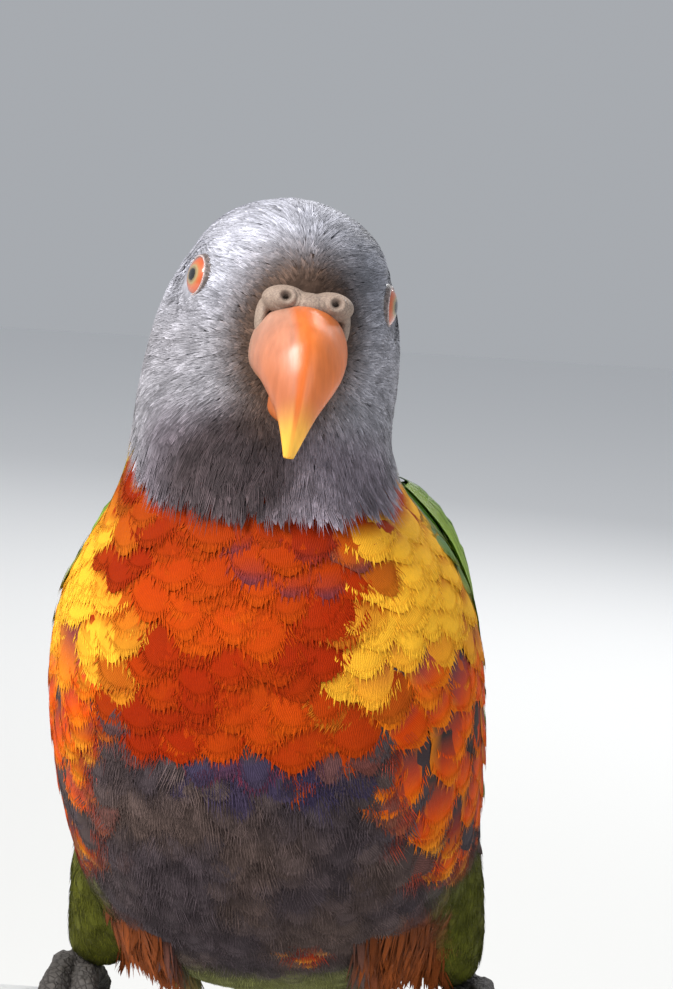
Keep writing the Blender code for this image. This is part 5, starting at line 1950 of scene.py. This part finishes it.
def railMaterial():
    material, tree, shader = newMaterial("galvanised", metallic=0.35)
    place = objectPlace(tree)
    cloud = grainAt(tree, place, 160.0, 6.0)
    scuff = grainAt(tree, stretched(tree, place, (0.25, 1.0, 1.0)), 1400.0, 4.0)
    colour = mixColours(tree, "MIX", cloud, (0.42, 0.43, 0.43), (0.66, 0.67, 0.67))
    worn = rampNode(tree, scuff, [(0.55, 0.0), (0.68, 1.0)])
    colour = mixColours(tree, "MIX", times(tree, worn, 0.45), colour, (0.22, 0.22, 0.21))
    joinSurface(tree, shader, colour, spread(tree, cloud, 0.3, 0.35), plus(tree, scuff, cloud), 0.15)
    return material


def standMaterial():
    material, tree, shader = newMaterial("standFinish", coat=0.3, coatRoughness=0.25)
    place = stretched(tree, objectPlace(tree), (1.0, 9.0, 9.0))
    rings = grainAt(tree, place, 26.0, 7.0, in_Distortion=0.4)
    pale = rampNode(tree, rings, [(0.35, 0.0), (0.65, 1.0)])
    dark = rampNode(tree, grainAt(tree, place, 210.0, 4.0), [(0.28, 1.0), (0.42, 0.0)])
    colour = mixColours(tree, "MIX", pale, (0.045, 0.028, 0.018), (0.15, 0.09, 0.055))
    colour = mixColours(tree, "MIX", times(tree, dark, 0.6), colour, (0.02, 0.013, 0.01))
    joinSurface(tree, shader, colour, spread(tree, rings, 0.2, 0.28), mathNode(tree, "SUBTRACT", rings, dark), 0.25)
    return material


def roundBar(name, radius, low, high, finish, segments, bevel, node, slot):
    bm = bmesh.new()
    length = (high - low).length
    bmesh.ops.create_cone(bm, cap_ends=True, segments=segments, radius1=radius, radius2=radius, depth=length)
    rims = [e for e in bm.edges if abs(e.verts[0].co.z - e.verts[1].co.z) < length / 2]
    bmesh.ops.bevel(bm, geom=rims, offset=bevel, segments=5, profile=0.5, affect="EDGES", material=-1)
    turn = (high - low).to_track_quat("Z", "Y").to_matrix().to_4x4()
    bmesh.ops.transform(bm, matrix=Matrix.Translation((low + high) / 2) @ turn, verts=bm.verts)
    piece = pieceFrom(bm, name, finish)
    piece.data.set_sharp_from_angle(angle=math.radians(30))
    dress(piece, slot, node)


def buildStand():
    r, s = railValues, standValues
    axis = pose["railTop"] - r["radius"]
    half = Vector((r["length"] / 2, 0, 0))
    middle = Vector((0, 0, axis))
    roundBar("rail", r["radius"], middle - half, middle + half, railMaterial(), 128, r["bevel"], "perch", "rail")
    wood = standMaterial()
    top = Vector((0, 0, s["thick"]))
    roundBar("base", s["radius"], Vector((0, 0, 0)), top, wood, 192, s["bevel"], "stand_base", "stand")
    tones = ((0.05, 0.05, 0.052), (0.11, 0.11, 0.112))
    steel = simpleFinish("rodSteel", 900.0, tones, (0.3, 0.2), detail=4.0, metallic=0.8)[0]
    for side, word in ((1, "left"), (-1, "right")):
        x = side * (r["length"] / 2 - s["inset"])
        low = Vector((x, 0, s["thick"] + s["gap"]))
        high = Vector((x, 0, axis - r["radius"] * 0.96))
        roundBar("rod_" + word, s["rod"], low, high, steel, 48, s["rodBevel"], "stand_rod_" + word, "stand")


buildStand()
print("stand done")


# Floor, light and camera

studioValues = {
    # painted light: the floor darker near the bird, under the key lamp's pool of light, and paler far off
    "floorTones": ((0.15, (0.56, 0.56, 0.55)), (0.75, (0.93, 0.935, 0.94))),  # shares of floorReach, in metres
    "floorReach": 2.0,
    "floorSize": 4.0,
    "sky": (0.86, 0.90, 0.96, 1),
    "skyPower": 0.45,
    "aim": (0, 0, 0.18),
    "lamps": {  # place, power, size and colour
        "key": ((-0.66, -0.58, 0.97), 24.5, 0.46, (1.0, 0.975, 0.94)),
        "fill": ((0.75, -0.75, 0.40), 3.6, 0.8, (0.92, 0.96, 1.0)),
        "rim": ((0.3, 0.8, 0.8), 7.0, 0.5, (1.0, 1.0, 1.0)),
    },
}


def buildStudio():
    v = studioValues
    floor, tree, shader = newMaterial("paleFloor", roughness=0.7)
    away = newNode(tree, "ShaderNodeVectorMath", operation="LENGTH")
    tree.links.new(objectPlace(tree), away.inputs[0])
    reach = mathNode(tree, "DIVIDE", away.outputs["Value"], v["floorReach"])
    # painted light and shade evening out the floor's lighting
    tree.links.new(rampNode(tree, reach, v["floorTones"]), shader.inputs["Base Color"])
    bm = bmesh.new()
    bmesh.ops.create_grid(bm, x_segments=1, y_segments=1, size=v["floorSize"])
    plane = pieceFrom(bm, "floor", floor)
    world = bpy.data.worlds.new("studio")
    bpy.context.scene.world = world
    world.use_nodes = True
    sky = world.node_tree.nodes["Background"]
    sky.inputs[0].default_value, sky.inputs[1].default_value = v["sky"], v["skyPower"]
    for name, (place, power, size, colour) in v["lamps"].items():
        light = bpy.data.lights.new(name, "AREA")
        light.energy, light.size, light.color = power, size, colour
        lamp = addObject(name, light)
        lamp.location = place
        lamp.rotation_euler = (Vector(v["aim"]) - Vector(place)).to_track_quat("-Z", "Y").to_euler()


cameraValues = {
    "target": (2.8 * mm, -30 * mm, pose["railTop"] + 82 * mm),
    "distance": 0.222,
    "elevation": 8.0,
    "roll": 3.6,
    "focalPixels": 1760.0,
    "height": 989,
}


def buildCamera():
    v = cameraValues
    target = Vector(v["target"])
    tilt = math.radians(v["elevation"])
    place = target + Vector((0, -math.cos(tilt), math.sin(tilt))) * v["distance"]
    data = bpy.data.cameras.new("camera")
    data.sensor_fit = "VERTICAL"
    data.sensor_height = 24.0
    data.lens = v["focalPixels"] * 24.0 / v["height"]
    data.clip_start = 0.01
    camera = addObject("camera", data)
    camera.location = place
    look = (target - place).to_track_quat("-Z", "Y") @ Quaternion((0, 0, 1), math.radians(v["roll"]))
    camera.rotation_mode = "QUATERNION"
    camera.rotation_quaternion = look
    bpy.context.scene.camera = camera


bpy.context.scene.view_settings.view_transform = "Standard"
buildStudio()
buildCamera()
print("studio done")
